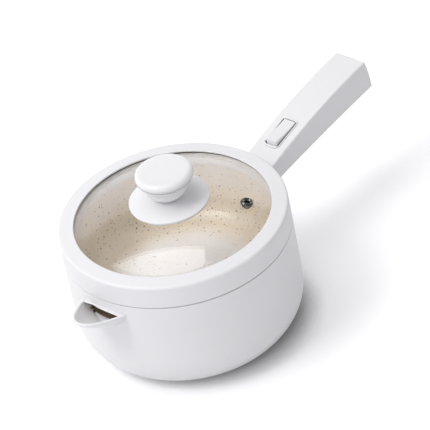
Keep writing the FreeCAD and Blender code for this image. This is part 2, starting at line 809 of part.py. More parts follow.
def make_handle_cover():
    """Long cover let into the underside of the handle, with countersunk places for its screws."""
    x0 = cavity_start + cover_fit
    x1 = cavity_end - cover_fit
    cover = handle_slab(offset(low_line, -handle_wall), low_line, x0, x1, x1, cavity_width - 2 * cover_fit)
    for x in grip_screw_x:
        z = height_on(low_line, x)
        cover = cover.cut(cylinder(grip_screw_radius + screw_gap, z - 2, z + handle_wall * 2, x, 0))
        cover = cover.cut(cylinder(grip_head_radius + screw_gap, z - 2, z + grip_head_height * 0.6, x, 0))
    return cover


def make_handle_cover_screws():
    solids = []
    for x in grip_screw_x:
        seat = height_on(low_line, x) + grip_head_height * 0.6
        tip = vec(x, 0, seat + handle_wall * 3)
        solids.append(screw(grip_screw_radius, grip_head_radius, grip_head_height * 0.8,
                            handle_wall * 3, tip, Z))
    return Part.makeCompound(solids)


def make_handle_bracket():
    """Curved steel plate inside the wall that spreads the handle's load."""
    inner = shell_inner - bracket_thick - seat_gap
    low = bracket_top - bracket_height
    plate = outline(across, (inner, low), [
        [(inner + bracket_thick, low)],
        [(inner + bracket_thick, bracket_top)],
        [(inner, bracket_top)],
    ]).revolve(ORIGIN, Z, 2 * bracket_angle)
    plate.rotate(ORIGIN, Z, -bracket_angle)
    for y in (-handle_screw_y, handle_screw_y):
        plate = plate.cut(rod(screw_radius + screw_gap, vec(inner - bracket_thick * 2, y, handle_screw_z),
                              vec(body_radius, y, handle_screw_z)))
    return plate.cut(rod(bracket_slot, vec(inner - bracket_thick * 2, 0, bracket_top - bracket_height),
                         vec(body_radius, 0, bracket_top - bracket_height)))


def make_handle_screws():
    """Screws from inside the wall, through the bracket, into the handle's root."""
    solids = []
    inner = shell_inner - bracket_thick - seat_gap
    tip_x = cavity_start + handle_boss_length - 2 * handle_root_wall - screw_gap
    for y in (-handle_screw_y, handle_screw_y):
        seat = math.sqrt(inner ** 2 - (abs(y) - screw_head_radius) ** 2) - bracket_thick
        solids.append(screw(screw_radius, screw_head_radius * 0.85, screw_head_height * 0.8, tip_x - seat,
                            vec(tip_x, y, handle_screw_z), vec(1, 0, 0)))
    return Part.makeCompound(solids)


def make_switch_bezel():
    """Frame around the rocker with the sleeve that its pins turn in."""
    flange = rounded_block(bezel_length, bezel_width, bezel_round, -bezel_seat, bezel_proud)
    top_edges = [edge for edge in flange.Edges if edge.BoundBox.ZMin > bezel_proud - 1e-6]
    flange = flange.makeFillet(bezel_proud * 0.6, top_edges)
    sleeve = rounded_block(tube_length, tube_width, tube_round, -tube_depth, 0)
    frame = joined([flange, sleeve])
    frame = frame.cut(rounded_block(opening_length, opening_width, opening_round, -tube_depth, bezel_proud))
    bore = rod(rocker_pin_radius + rocker_pin_gap, vec(0, -tube_width, -rocker_pivot_depth),
               vec(0, tube_width, -rocker_pivot_depth))
    return at_switch(frame.cut(bore))


def make_rocker_button():
    """Dished rocker with round ends and two side pins, tipped so that its pot end stands up."""
    reach = opening_length / 2 - rocker_gap
    up = math.radians(rocker_top_angle)
    down = math.radians(rocker_low_angle)
    top = (reach * math.cos(up), reach * math.sin(up))
    low = (reach * math.cos(down), -reach * math.sin(down))
    width = opening_width - 2 * rocker_gap
    face = outline(lambda x, z: vec(x, -width / 2, z), (-top[0], top[1]), [
        [(0, top[1] - rocker_dish), top],
        [(reach, 0), low],
        [(-low[0], low[1])],
        [(-reach, 0), (-top[0], top[1])],
    ])
    button = face.extrude(vec(0, width, 0))
    edges = [edge for edge in button.Edges if edge.BoundBox.ZMin > top[1] - rocker_dish - 1]
    button = button.makeFillet(rocker_round, edges)
    button = button.common(rounded_block(2 * reach, width, rocker_corner, -reach, reach))
    pins = rod(rocker_pin_radius, vec(0, -tube_width / 2, 0), vec(0, tube_width / 2, 0))
    button = joined([button, pins])
    button.rotate(ORIGIN, vec(0, 1, 0), rocker_tilt)
    button.translate(vec(0, 0, -rocker_pivot_depth))
    holder = Part.makeCompound([button])
    return at_switch(holder).Solids[0]


def make_switch_housing():
    """Block that closes the sleeve from below and carries the tabs."""
    base = rounded_block(tube_length, tube_width, tube_round, -tube_depth - housing_depth, -tube_depth)
    for x in (-tab_pitch, 0, tab_pitch):
        base = base.cut(block(x - tab_thick / 2 - seat_gap, x + tab_thick / 2 + seat_gap,
                              -tab_width / 2 - seat_gap, tab_width / 2 + seat_gap,
                              -tube_depth - housing_depth, -tube_depth))
    return at_switch(base)


def make_switch_tabs():
    solids = []
    for x in (-tab_pitch, 0, tab_pitch):
        solids.append(block(x - tab_thick / 2, x + tab_thick / 2, -tab_width / 2, tab_width / 2,
                            -tube_depth - housing_depth - tab_length, -tube_depth - seat_gap))
    return at_switch(Part.makeCompound(solids))


def make_inlet_socket():
    """Recessed appliance inlet in the end of the handle."""
    face_x = handle_end_x - inlet_inset
    back_x = face_x - inlet_recess
    shroud = inlet_shape(0.0, back_x - inlet_back, face_x)
    shroud = shroud.cut(inlet_shape(-inlet_wall, back_x, face_x + 1))
    for y, z in inlet_pin_places():
        shroud = shroud.cut(block(back_x - inlet_back, back_x,
                                  y - inlet_pin_thick / 2, y + inlet_pin_thick / 2,
                                  z - inlet_pin_width / 2, z + inlet_pin_width / 2))
    return shroud


def inlet_pin_places():
    return ((-inlet_pin_pitch, inlet_z - inlet_earth_offset / 2), (0, inlet_z + inlet_earth_offset / 2),
            (inlet_pin_pitch, inlet_z - inlet_earth_offset / 2))


def make_inlet_pins():
    solids = []
    back_x = handle_end_x - inlet_inset - inlet_recess
    for y, z in inlet_pin_places():
        pin = block(back_x - inlet_back - inlet_tail, back_x + inlet_pin_length, y - inlet_pin_thick / 2,
                    y + inlet_pin_thick / 2, z - inlet_pin_width / 2, z + inlet_pin_width / 2)
        solids.append(pin)
    return Part.makeCompound(solids)


# ---------------------------------------------------------------- leads
def lead(points):
    """An insulated lead: straight runs joined by tangent arcs as wide as the runs allow."""
    edges = []
    here = points[0]
    for before, corner, after in zip(points, points[1:], points[2:]):
        way_in = (corner - before).normalize()
        way_out = (after - corner).normalize()
        turn = way_in.getAngle(way_out)
        reach = 0.45 * min((corner - before).Length, (after - corner).Length)
        radius = reach / math.tan(turn / 2)
        start = corner - way_in * reach
        end = corner + way_out * reach
        inwards = (way_out - way_in).normalize()
        middle = corner + inwards * (radius / math.cos(turn / 2) - radius)
        edges.append(Part.makeLine(here, start))
        edges.append(Part.Arc(start, middle, end).toShape())
        here = end
    edges.append(Part.makeLine(here, points[-1]))
    path = Part.Wire(edges)
    ring = Part.Wire(Part.makeCircle(lead_radius, points[0], points[1] - points[0]))
    return path.makePipeShell([ring], True, True)


def wall_run(y):
    """The stretch that three leads share: through the wall, down beside the pot and under it."""
    x = (pot_outer + shell_inner - bracket_thick) / 2
    z = handle_screw_z
    return [vec(cavity_start + lead_bend, y, z), vec(body_radius, y, z + lead_radius / 3),
            vec(x, y, z - 1.5 * lead_radius), vec(x, y, z - lead_drop),
            vec(x - lead_bend, y, pot_floor + lead_radius),
            vec(plate_radius + 2 * lead_bend, y, foot_height + lead_floor + 2 * lead_radius)]


def inlet_tail_end(index):
    """Where a lead meets the tail of an inlet pin."""
    y, z = inlet_pin_places()[index]
    return vec(handle_end_x - inlet_inset - inlet_recess - inlet_back - inlet_tail - seat_gap, y, z)


def under_grip(x, y, lift):
    """A point inside the handle, measured from its underside."""
    return vec(x, y, height_on(low_line, x) + lift)


def along_grip(route):
    """The points of a route inside the handle."""
    return [under_grip(switch_x + past, y, lift) for past, y, lift in route]


def at_root(entry):
    """Where a lead comes to the hole through the wall."""
    return under_grip(cavity_start + lead_entry, entry[0], entry[1])


def switch_tab(x):
    """The foot of one of the switch's tabs."""
    return at_switch(Part.Vertex(x, 0, -tube_depth - housing_depth - tab_length)).Point


def make_lead_live():
    """From the inlet to the switch's far tab."""
    start = inlet_tail_end(2)
    tab = switch_tab(tab_pitch)
    return lead([start, start + vec(-lead_pin_run, 0, 0)] + along_grip(live_route)
                + [tab + vec(*bend) for bend in live_bends])


def make_lead_switched():
    """From the switch's middle tab down to the thermostat."""
    tab = switch_tab(0)
    y = thermostat_radius / 2
    low = plate_under - thermostat_height - tab_length * 0.35
    return lead([tab + vec(*bend) for bend in switched_bends] + along_grip(switched_route)
                + [at_root(switched_entry)] + wall_run(lead_lane)
                + [vec(ridge_radius - lead_bend, 2 * lead_lane, foot_height + lead_floor),
                   vec(post_circle - lead_bend, y, low), vec(tab_width / 2 + 1.2 * lead_radius, y, low)])


def make_lead_neutral():
    """From the inlet to the thermal fuse."""
    start = inlet_tail_end(0)
    low = foot_height + lead_floor
    z = plate_under - fuse_radius - fuse_clip_thick
    y = -fuse_length - fuse_radius * 2
    return lead([start, start + vec(-lead_pin_run, 0, 0)] + along_grip(neutral_route)
                + [at_root(neutral_entry)] + wall_run(-lead_lane)
                + [vec(ridge_radius - lead_bend, 2 * y / 5, low), vec(2 * lead_bend, 3 * y / 4, low),
                   vec(fuse_x / 2, y, low), vec(fuse_x, y - lead_bend, z), vec(fuse_x, y - seat_gap, z)])


def make_lead_earth():
    """From the inlet's middle pin to the heater plate, between the tube's ends."""
    start = inlet_tail_end(1)
    low = foot_height + lead_floor + 1.5 * lead_radius
    return lead([start, start + vec(-lead_pin_run, 0, 0), start + vec(*earth_bend)] + along_grip(earth_route)
                + [at_root(earth_entry)] + wall_run(0.0)
                + [vec(ridge_radius - lead_radius, 0, low), vec(post_circle, 0, post_split - lead_radius / 2),
                   vec(post_circle, 0, plate_under - seat_gap)])


# ---------------------------------------------------------------- lid pieces
def make_lid_frame():
    """White moulded ring: outer skirt, broad top band and the lip over the glass."""
    inner = body_radius - lid_wall
    k = lid_edge_round * (1 - math.sqrt(0.5))
    c = lid_lip_round * (1 - math.sqrt(0.5))
    crown = lid_top + lid_crown
    under = lid_top - lid_wall
    wall_out = glass_radius + seal_thick + retainer_wall + 3 * seat_gap
    return turned((inner, lid_bottom), [
        [(body_radius - edge_break, lid_bottom)],
        [(body_radius, lid_bottom + edge_break)],
        [(body_radius, lid_top - lid_edge_round)],
        [(body_radius - k, lid_top - k), (body_radius - lid_edge_round, lid_top)],
        [(lid_opening + lid_lip_round, crown)],
        [(lid_opening + c, crown - c), (lid_opening, crown - lid_lip_round)],
        [(lid_opening, lip_under)],
        [(wall_out, lip_under)],
        [(wall_out, under)],
        [(inner - lid_edge_round / 2, under)],
        [(inner, under - lid_edge_round / 2)],
    ])


def make_lid_retainer():
    """Ring below the glass: a channel for its edge and the skirt that centres the lid in the pot."""
    skirt_out = skirt_inner + skirt_wall
    wall_in = glass_radius + seal_thick + seat_gap
    wall_out = wall_in + retainer_wall
    low = pot_rim_top - skirt_engage
    return turned((skirt_inner, low), [
        [(skirt_out, low)],
        [(skirt_out, retainer_under)],
        [(wall_out, retainer_under)],
        [(wall_out, lip_under - seat_gap)],
        [(wall_in, lip_under - seat_gap)],
        [(wall_in, retainer_top)],
        [(skirt_inner, retainer_top)],
    ])


def make_lid_gasket():
    """Silicone ring under the lid that rests on the pot's rolled rim."""
    skirt_out = skirt_inner + skirt_wall + seat_gap
    middle = pot_radius + rim_width / 2
    half = lid_gasket_width / 2
    top = retainer_under - seat_gap
    outer = glass_radius + retainer_wall
    return turned((skirt_out, top), [
        [(skirt_out, top - lid_gasket_flange)],
        [(middle - half, top - lid_gasket_flange)],
        [(middle - half, pot_rim_top)],
        [(middle + half, pot_rim_top)],
        [(middle + half, top - lid_gasket_flange)],
        [(outer, top - lid_gasket_flange)],
        [(outer, top)],
    ])


def make_glass_seal():
    """Thin silicone channel around the edge of the glass."""
    inner = glass_radius - seal_reach
    outer = glass_radius + seal_thick
    return turned((inner, glass_top), [
        [(glass_radius, glass_top)],
        [(glass_radius, glass_under)],
        [(inner, glass_under)],
        [(inner, glass_under - seal_thick)],
        [(outer, glass_under - seal_thick)],
        [(outer, glass_top + seal_thick)],
        [(inner, glass_top + seal_thick)],
    ])


def dome_radius():
    return (glass_brim ** 2 + glass_rise ** 2) / (2 * glass_rise)


def dome_height(r):
    """Top of the glass at a distance from the axis."""
    radius = dome_radius()
    return glass_crown - radius + math.sqrt(radius ** 2 - r ** 2)


def vent_placement():
    """Frame of the steam vent: on the glass, square to it."""
    x, y = polar(vent_distance, vent_angle)
    tilt = math.degrees(math.asin(vent_distance / dome_radius()))
    axis = vec(-y, x, 0)
    return FreeCAD.Placement(vec(x, y, dome_height(vent_distance)), FreeCAD.Rotation(axis, tilt))


def make_lid_glass():
    """Domed tempered glass with a flat brim, a knob hole and a vent hole."""
    middle = glass_brim / 2
    under_rise = dome_height(middle) - glass_thick
    glass = turned((0, glass_crown), [
        [(middle, dome_height(middle)), (glass_brim, glass_top)],
        [(glass_radius, glass_top)],
        [(glass_radius, glass_under)],
        [(glass_brim, glass_under)],
        [(middle, under_rise), (0, glass_crown - glass_thick)],
    ])
    glass = glass.cut(cylinder(knob_screw_radius + knob_hole_gap * 2, glass_crown - 3 * glass_thick,
                               glass_crown + glass_thick))
    hole = cylinder(vent_tube + knob_hole_gap / 2, -3 * glass_thick, glass_thick)
    hole.Placement = vent_placement()
    return glass.cut(hole)


def make_knob_base():
    """Broad disc under the knob, hollow below, standing just clear of the glass."""
    r = knob_base_radius
    wall = knob_base_wall
    edge = dome_height(r - wall) + knob_base_lift
    rounding = knob_base_edge / 3
    pocket = washer_radius + washer_gap
    bore = knob_screw_radius + knob_hole_gap
    return turned((bore, base_seat), [
        [(pocket, base_seat)],
        [(pocket, base_seat - knob_base_pocket)],
        [(r - 2 * wall, edge + knob_base_pocket)],
        [(r - wall, edge)],
        [(r - rounding, edge)],
        [(r, edge + knob_base_edge / 2), (r - rounding, edge + knob_base_edge)],
        [((r + knob_foot_radius) / 2, base_top - knob_base_pocket), (knob_foot_radius, base_top)],
        [(bore, base_top)],
    ])


def make_knob_stem():
    """Flared stem between the base disc and the cap."""
    bore = knob_screw_radius + knob_hole_gap / 2
    ledge_top = knob_ledge_z + knob_ledge_height
    recess = ledge_top - knob_spigot_depth - cover_fit
    foot = base_top + seat_gap
    return turned((bore, foot), [
        [(knob_foot_radius, foot)],
        [(knob_waist_radius, foot + knob_waist_height),
         (knob_ledge_radius - knob_ledge_chamfer, knob_ledge_z)],
        [(knob_ledge_radius, knob_ledge_z + knob_ledge_chamfer)],
        [(knob_ledge_radius, ledge_top)],
        [(knob_spigot_radius + cover_fit, ledge_top)],
        [(knob_spigot_radius + cover_fit, recess)],
        [(bore, recess)],
    ])


def make_knob_cap():
    """Thick round cap with a soft edge and a spigot that snaps into the stem."""
    z = knob_cap_z
    top = z + knob_cap_height
    r = knob_cap_radius
    soft = knob_cap_top_round
    k = 1 - math.sqrt(0.5)
    return turned((0, z - knob_spigot_depth), [
        [(knob_spigot_radius, z - knob_spigot_depth)],
        [(knob_spigot_radius, z)],
        [(knob_cap_under, z)],
        [(r - (r - knob_cap_under) * k, z + knob_cap_low_round / 2), (r, z + knob_cap_low_round)],
        [(r, top - knob_cap_crown - soft)],
        [(r - soft * k, top - knob_cap_crown - soft * k), (r - soft, top - knob_cap_crown)],
        [(knob_cap_flat, top - knob_cap_crown / 2)],
        [(0, top)],
    ])


def make_knob_washers():
    """Silicone washers above and below the glass."""
    hole = knob_screw_radius + knob_hole_gap
    under = dome_height(lower_washer_radius) - glass_thick - seat_gap
    upper = cylinder(washer_radius, washer_under, base_seat - seat_gap)
    lower = cylinder(lower_washer_radius, under - washer_thick, under)
    upper = upper.cut(cylinder(hole, washer_under, base_seat))
    return Part.makeCompound([upper, lower.cut(cylinder(hole, under - washer_thick, under))])


def make_knob_screw():
    """Screw up through the glass into the knob's stem."""
    seat = dome_height(lower_washer_radius) - glass_thick - 2 * seat_gap - washer_thick
    tip = vec(0, 0, seat + knob_screw_length)
    return screw(knob_screw_radius, knob_screw_head, knob_screw_head_height, knob_screw_length, tip, Z)


def make_vent_grommet():
    """Steel eyelet with a thick rounded ring that lets steam out."""
    low = -glass_thick - vent_lift
    top = vent_lift + vent_proud
    k = 1 - math.sqrt(0.5)
    ring = turned((vent_bore, low - vent_roll_thick), [
        [(vent_roll, low - vent_roll_thick)],
        [(vent_roll, low)],
        [(vent_tube, low)],
        [(vent_tube, vent_lift)],
        [(vent_flange, vent_lift)],
        [(vent_flange - (vent_flange - vent_crest) * k, top - vent_proud * k), (vent_crest, top)],
        [(vent_bore + (vent_crest - vent_bore) * k, top - vent_proud * k), (vent_bore, vent_lift)],
    ])
    ring.Placement = vent_placement()
    return ring


PIECES = {
    "outer_shell": make_outer_shell,
    "inner_pot": make_inner_pot,
    "spout_gasket": make_spout_gasket,
    "top_collar": make_top_collar,
    "rim_gasket": make_rim_gasket,
    "heater_plate": make_heater_plate,
    "heater_terminals": make_heater_terminals,
    "thermostat": make_thermostat,
    "thermostat_strap": make_thermostat_strap,
    "strap_screws": make_strap_screws,
    "thermal_fuse": make_thermal_fuse,
    "fuse_clip": make_fuse_clip,
    "base_cover": make_base_cover,
    "base_screws": make_base_screws,
    "foot_ring": make_foot_ring,
    "handle_body": make_handle_body,
    "handle_cover": make_handle_cover,
    "handle_cover_screws": make_handle_cover_screws,
    "handle_bracket": make_handle_bracket,
    "handle_screws": make_handle_screws,
    "switch_bezel": make_switch_bezel,
    "rocker_button": make_rocker_button,
    "switch_housing": make_switch_housing,
    "switch_tabs": make_switch_tabs,
    "inlet_socket": make_inlet_socket,
    "inlet_pins": make_inlet_pins,
    "lead_live": make_lead_live,
    "lead_switched": make_lead_switched,
    "lead_neutral": make_lead_neutral,
    "lead_earth": make_lead_earth,
    "lid_frame": make_lid_frame,
    "lid_retainer": make_lid_retainer,
    "lid_gasket": make_lid_gasket,
    "lid_glass": make_lid_glass,
    "glass_seal": make_glass_seal,
    "knob_base": make_knob_base,
    "knob_stem": make_knob_stem,
    "knob_cap": make_knob_cap,
    "knob_washers": make_knob_washers,
    "knob_screw": make_knob_screw,
    "vent_grommet": make_vent_grommet,
}

os.makedirs("parts", exist_ok=True)
for name, make in PIECES.items():
    shape = make()
    solids = shape.Solids
    closed = all(solid.isClosed() and solid.isValid() and solid.Volume > 0 for solid in solids)
    print(name, len(solids), round(shape.Volume, 1), "ok" if closed and solids else "BAD")
    kept = solids[0] if len(solids) == 1 else Part.makeCompound(solids)
    kept.exportStep(os.path.join("parts", name + ".step"))
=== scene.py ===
import json
import math
import bmesh
import bpy
from mathutils import Matrix, Vector


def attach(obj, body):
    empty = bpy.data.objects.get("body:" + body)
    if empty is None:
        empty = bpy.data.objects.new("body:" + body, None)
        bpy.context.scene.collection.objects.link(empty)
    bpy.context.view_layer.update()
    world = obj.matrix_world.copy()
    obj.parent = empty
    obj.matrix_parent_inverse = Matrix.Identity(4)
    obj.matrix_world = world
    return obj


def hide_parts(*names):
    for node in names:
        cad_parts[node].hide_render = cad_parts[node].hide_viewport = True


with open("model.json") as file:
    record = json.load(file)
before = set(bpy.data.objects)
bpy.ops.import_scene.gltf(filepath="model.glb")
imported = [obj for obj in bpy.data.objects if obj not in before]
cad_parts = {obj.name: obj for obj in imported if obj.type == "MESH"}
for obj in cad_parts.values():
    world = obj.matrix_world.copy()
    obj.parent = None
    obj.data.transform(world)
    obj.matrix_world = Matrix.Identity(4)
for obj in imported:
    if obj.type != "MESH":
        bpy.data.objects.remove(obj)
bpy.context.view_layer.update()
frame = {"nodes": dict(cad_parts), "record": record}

# ---------------------------------------------------------------- Camera
# A long lens looks down on the pot from the side of its pour lip, rolled so that the
# handle points to the upper right. Nothing is shifted and nothing is out of focus.
CAMERA_AZIMUTH = -42.7
CAMERA_PITCH = 52.69
CAMERA_ROLL = -11.69
CAMERA_PLACE = (-1.73513, -1.93004, 2.08431)
CAMERA_LENS = 334.88
CAMERA_SENSOR = 36.0
CAMERA_SIGHT = 30.0

camera = bpy.data.objects.new("camera", bpy.data.cameras.new("camera"))
camera.data.lens = CAMERA_LENS
camera.data.sensor_width = CAMERA_SENSOR
camera.data.clip_end = CAMERA_SIGHT
camera.matrix_world = (Matrix.Translation(CAMERA_PLACE)
                       @ Matrix.Rotation(math.radians(CAMERA_AZIMUTH), 4, "Z")
                       @ Matrix.Rotation(math.radians(CAMERA_PITCH), 4, "X")
                       @ Matrix.Rotation(math.radians(CAMERA_ROLL), 4, "Z"))
bpy.context.scene.collection.objects.link(camera)
bpy.context.scene.camera = camera
bpy.context.scene.view_settings.view_transform = "Standard"


# ---------------------------------------------------------------- Studio
# White paper under three soft boxes: a broad one overhead that shows in the glass, a strong
# one far off on the left and a weak one in front. The room is a little dimmer on the right,
# and a white screen behind the pot shows only in what is glossy. A painted contact shadow
# darkens the paper next to the pot, on the side away from the left soft box.
WHITE = (1.0, 1.0, 1.0)
POT_MIDDLE = (0.0, 0.0, 0.06)
ROOM_LEVEL = 0.56
ROOM_SWING = 0.2
ROOM_BRIGHT_SIDE = 145.0
ROOM_TONE = (0.985, 0.975, 1.02)
SCREEN_AZIMUTH = 38.0
SCREEN_TOP = 38.0
SCREEN_EDGE = 0.03
SCREEN_LEVEL = 1.2
CEILING_LEVEL = 0.2
FLOOR_SIZE = 12.0
FLOOR_ROUGHNESS = 0.9
FLOOR_GLOSS = 0.1
FLOOR_TONE = (0.78, 0.78, 0.785)
FLOOR_SEEN = (0.97, 0.97, 0.975)
FLOOR_GLOW = 0.2
# The painted contact shadow on the paper: how far it reaches, which way it leans, the occlusion
# it fades over and its darkest share.
CONTACT_REACH = 0.038
CONTACT_SIDE = (-0.60, 0.40, 0.69)
CONTACT_SPAN = (0.05, 0.68)
PAINTED_SHADOW_DARK = 0.03


def lamp(name, place, aim, size, power, turn=0.0):
    """A rectangular soft box at a place, aimed at a point and turned about that line."""
    data = bpy.data.lights.new(name, "AREA")
    data.shape = "RECTANGLE"
    data.size, data.size_y = size
    data.energy = power
    box = bpy.data.objects.new(name, data)
    way = Vector(aim) - Vector(place)
    box.matrix_world = (Matrix.Translation(place)
                        @ way.to_track_quat("-Z", "Y").to_matrix().to_4x4()
                        @ Matrix.Rotation(math.radians(turn), 4, "Z"))
    bpy.context.scene.collection.objects.link(box)


lamp("top_box", place=(-0.172, 0.482, 1.754), aim=(0.198, 0.172, 0.072), size=(1.57, 0.8),
     power=8.9, turn=80.5)
lamp("key_box", place=(-1.93, 0.70, 3.04), aim=POT_MIDDLE, size=(1.25, 1.25), power=35.0)
lamp("fill_box", place=(-1.54, -1.08, 0.74), aim=POT_MIDDLE, size=(1.0, 1.0), power=3.8)


def feed(tree, socket, value):
    """Links an input to a socket or sets it to a value. A colour may come without its alpha."""
    if isinstance(value, bpy.types.NodeSocket):
        tree.links.new(value, socket)
    elif socket.type == "RGBA" and len(value) == 3:
        socket.default_value = (*value, 1.0)
    else:
        socket.default_value = value


def shader(name, **values):
    """A new material with its node tree and its Principled node, set to the given values."""
    material = bpy.data.materials.new(name)
    material.use_nodes = True
    tree = material.node_tree
    bsdf = tree.nodes["Principled BSDF"]
    for key, value in values.items():
        feed(tree, bsdf.inputs[key.replace("_", " ")], value)
    return material, tree, bsdf


def node(tree, kind, **values):
    """A node with its settings, and its inputs by name or, as in_0, by number."""
    made = tree.nodes.new(kind)
    for key, value in values.items():
        if key in ("operation", "data_type", "interpolation_type"):
            setattr(made, key, value)
        elif key.startswith("in_"):
            feed(tree, made.inputs[int(key[3:])], value)
        else:
            feed(tree, made.inputs[key.replace("_", " ")], value)
    return made


def maths(tree, operation, *values):
    """The result of one operation on numbers."""
    made = node(tree, "ShaderNodeMath", operation=operation)
    for socket, value in zip(made.inputs, values):
        feed(tree, socket, value)
    return made.outputs[0]


def ramp(tree, value, span=(0.0, 1.0), levels=(0.0, 1.0), kind="LINEAR"):
    """A value carried from one range to another and held at its ends."""
    made = node(tree, "ShaderNodeMapRange", interpolation_type=kind, Value=value,
                From_Min=span[0], From_Max=span[1], To_Min=levels[0], To_Max=levels[1])
    return made.outputs["Result"]


def blend(tree, share, first, second):
    """A colour between two others."""
    made = node(tree, "ShaderNodeMix", data_type="RGBA", in_0=share, in_6=first, in_7=second)
    return made.outputs[2]


def scaled(tree, vector, share):
    """A colour or vector times a number."""
    made = node(tree, "ShaderNodeVectorMath", operation="SCALE", in_0=vector, Scale=share)
    return made.outputs[0]


def dot(tree, first, second):
    """How far one vector reaches along another."""
    made = node(tree, "ShaderNodeVectorMath", operation="DOT_PRODUCT", in_0=first, in_1=second)
    return made.outputs["Value"]


def polar(radius, angle):
    """The x and y at a radius and an angle in degrees."""
    return radius * math.cos(math.radians(angle)), radius * math.sin(math.radians(angle))


half = FLOOR_SIZE / 2
floor_mesh = bpy.data.meshes.new("floor")
floor_mesh.from_pydata([(-half, -half, 0), (half, -half, 0), (half, half, 0), (-half, half, 0)],
                       [], [(0, 1, 2, 3)])
floor = bpy.data.objects.new("floor", floor_mesh)
bpy.context.scene.collection.objects.link(floor)
paper, tree, bsdf = shader("paper", Roughness=FLOOR_ROUGHNESS, Specular_IOR_Level=FLOOR_GLOSS)
seen = node(tree, "ShaderNodeLightPath")
ray = maths(tree, "MAXIMUM", seen.outputs["Is Camera Ray"], seen.outputs["Is Glossy Ray"])
ray = maths(tree, "MAXIMUM", ray, seen.outputs["Is Transmission Ray"])
# Painted contact shadow: an occlusion test leaning towards the left soft box darkens the paper's
# seen colour and its glow near the pot.
toward = node(tree, "ShaderNodeCombineXYZ", X=CONTACT_SIDE[0], Y=CONTACT_SIDE[1],
              Z=CONTACT_SIDE[2])
contact = node(tree, "ShaderNodeAmbientOcclusion", Color=FLOOR_SEEN, Distance=CONTACT_REACH,
               Normal=toward.outputs[0])
outside_painted_shadow = ramp(tree, contact.outputs["AO"], CONTACT_SPAN, (PAINTED_SHADOW_DARK, 1.0), "SMOOTHSTEP")
tone = blend(tree, ray, FLOOR_TONE, scaled(tree, FLOOR_SEEN, outside_painted_shadow))
tree.links.new(tone, bsdf.inputs["Base Color"])
glow = node(tree, "ShaderNodeEmission", Color=WHITE,
            Strength=maths(tree, "MULTIPLY", outside_painted_shadow, FLOOR_GLOW))
nothing = node(tree, "ShaderNodeEmission", Strength=0.0)
lit = node(tree, "ShaderNodeMixShader", in_0=ray, in_1=nothing.outputs[0], in_2=glow.outputs[0])
both = node(tree, "ShaderNodeAddShader", in_0=bsdf.outputs[0], in_1=lit.outputs[0])
tree.links.new(both.outputs[0], tree.nodes["Material Output"].inputs["Surface"])
floor.data.materials.append(paper)

room = bpy.data.worlds.new("room")
bpy.context.scene.world = room
room.use_nodes = True
tree = room.node_tree
way = node(tree, "ShaderNodeTexCoord").outputs["Generated"]
bright_side = dot(tree, way, (*polar(ROOM_SWING, ROOM_BRIGHT_SIDE), 0.0))
dim = tree.nodes["Background"]
feed(tree, dim.inputs["Color"], ROOM_TONE)
feed(tree, dim.inputs["Strength"], maths(tree, "ADD", bright_side, ROOM_LEVEL))
slope = math.tan(math.radians(SCREEN_TOP))
height = dot(tree, way, (*polar(-slope, SCREEN_AZIMUTH), 1.0))
level = ramp(tree, height, (-SCREEN_EDGE, SCREEN_EDGE), (SCREEN_LEVEL, CEILING_LEVEL))
screen = node(tree, "ShaderNodeBackground", Color=WHITE, Strength=level)
white = node(tree, "ShaderNodeBackground", Color=WHITE, Strength=1.0)
seen = node(tree, "ShaderNodeLightPath")
ray = maths(tree, "MAXIMUM", seen.outputs["Is Camera Ray"], seen.outputs["Is Transmission Ray"])
mixed = node(tree, "ShaderNodeMixShader", in_0=seen.outputs["Is Glossy Ray"],
             in_1=dim.outputs[0], in_2=screen.outputs[0])
mixed = node(tree, "ShaderNodeMixShader", in_0=ray, in_1=mixed.outputs[0],
             in_2=white.outputs[0])
tree.links.new(mixed.outputs[0], tree.nodes["World Output"].inputs["Surface"])


# ---------------------------------------------------------------- Outer shell
# The body is one injection moulding in white plastic, satin from a finely etched mould. The
# pour lip is in one with the wall, with a rounded bead along its edge. Inside, a shelf
# carries the collar round the pot. The body's sizes here are in millimetres.
BODY_RADIUS = 95.5
LIP_HALF_WIDTH = 23.5
LIP_REACH = 30.0
LIP_WALL = 1.9
LIP_ROOT_HEIGHT = 86.4
LIP_ROOT_INSET = 1.25
LIP_TIP_HEIGHT = 91.8
BEAD_RADIUS = 1.5
BEAD_ROUNDING = 4
BEAD_FULLNESS = 2.25
BEAD_DROP = 0.9
BEAD_START = 0.6
BEAD_STEPS = 64
SHELL_CREASE = 15.0
CREASE_ANGLE = 32.0
MERGE_REACH = 2e-6
SHELL_WHITE = (0.835, 0.835, 0.842)
SHELL_ROUGHNESS = 0.36
TONE_DRIFT = 0.03
GLOSS_SWING = 0.04
ETCH_SIZE = 0.00035
ETCH_DEPTH = 0.000012
MOTTLE_SIZE = 0.03
BODIES = frame["record"]["behaviour"]["bodies"]
BODY_OF = {member: body for body, members in BODIES.items() for member in members}


def new_group(name, kind, inputs, outputs):
    """A node group with named sockets: (name, socket type, default value)."""
    group = bpy.data.node_groups.new(name, kind)
    for label, socket, value in inputs:
        made = group.interface.new_socket(name=label, in_out="INPUT", socket_type=socket)
        if value is not None:
            made.default_value = value
    for label, socket in outputs:
        group.interface.new_socket(name=label, in_out="OUTPUT", socket_type=socket)
    return group, group.nodes.new("NodeGroupInput"), group.nodes.new("NodeGroupOutput")


def own_place(tree):
    """Where a point of the surface lies, in its object's own coordinates."""
    return node(tree, "ShaderNodeTexCoord").outputs["Object"]


def noise(tree, place, scale, detail):
    """A cloudy value from 0 to 1."""
    made = node(tree, "ShaderNodeTexNoise", Vector=place, Scale=scale, Detail=detail)
    return made.outputs["Fac"]


def bump(tree, height, depth):
    """A normal that follows a height."""
    made = node(tree, "ShaderNodeBump", Strength=1.0, Distance=depth, Height=height)
    return made.outputs["Normal"]


SKIN_OUTPUTS = [("Colour", "NodeSocketColor"), ("Roughness", "NodeSocketFloat"),
                ("Normal", "NodeSocketVector")]


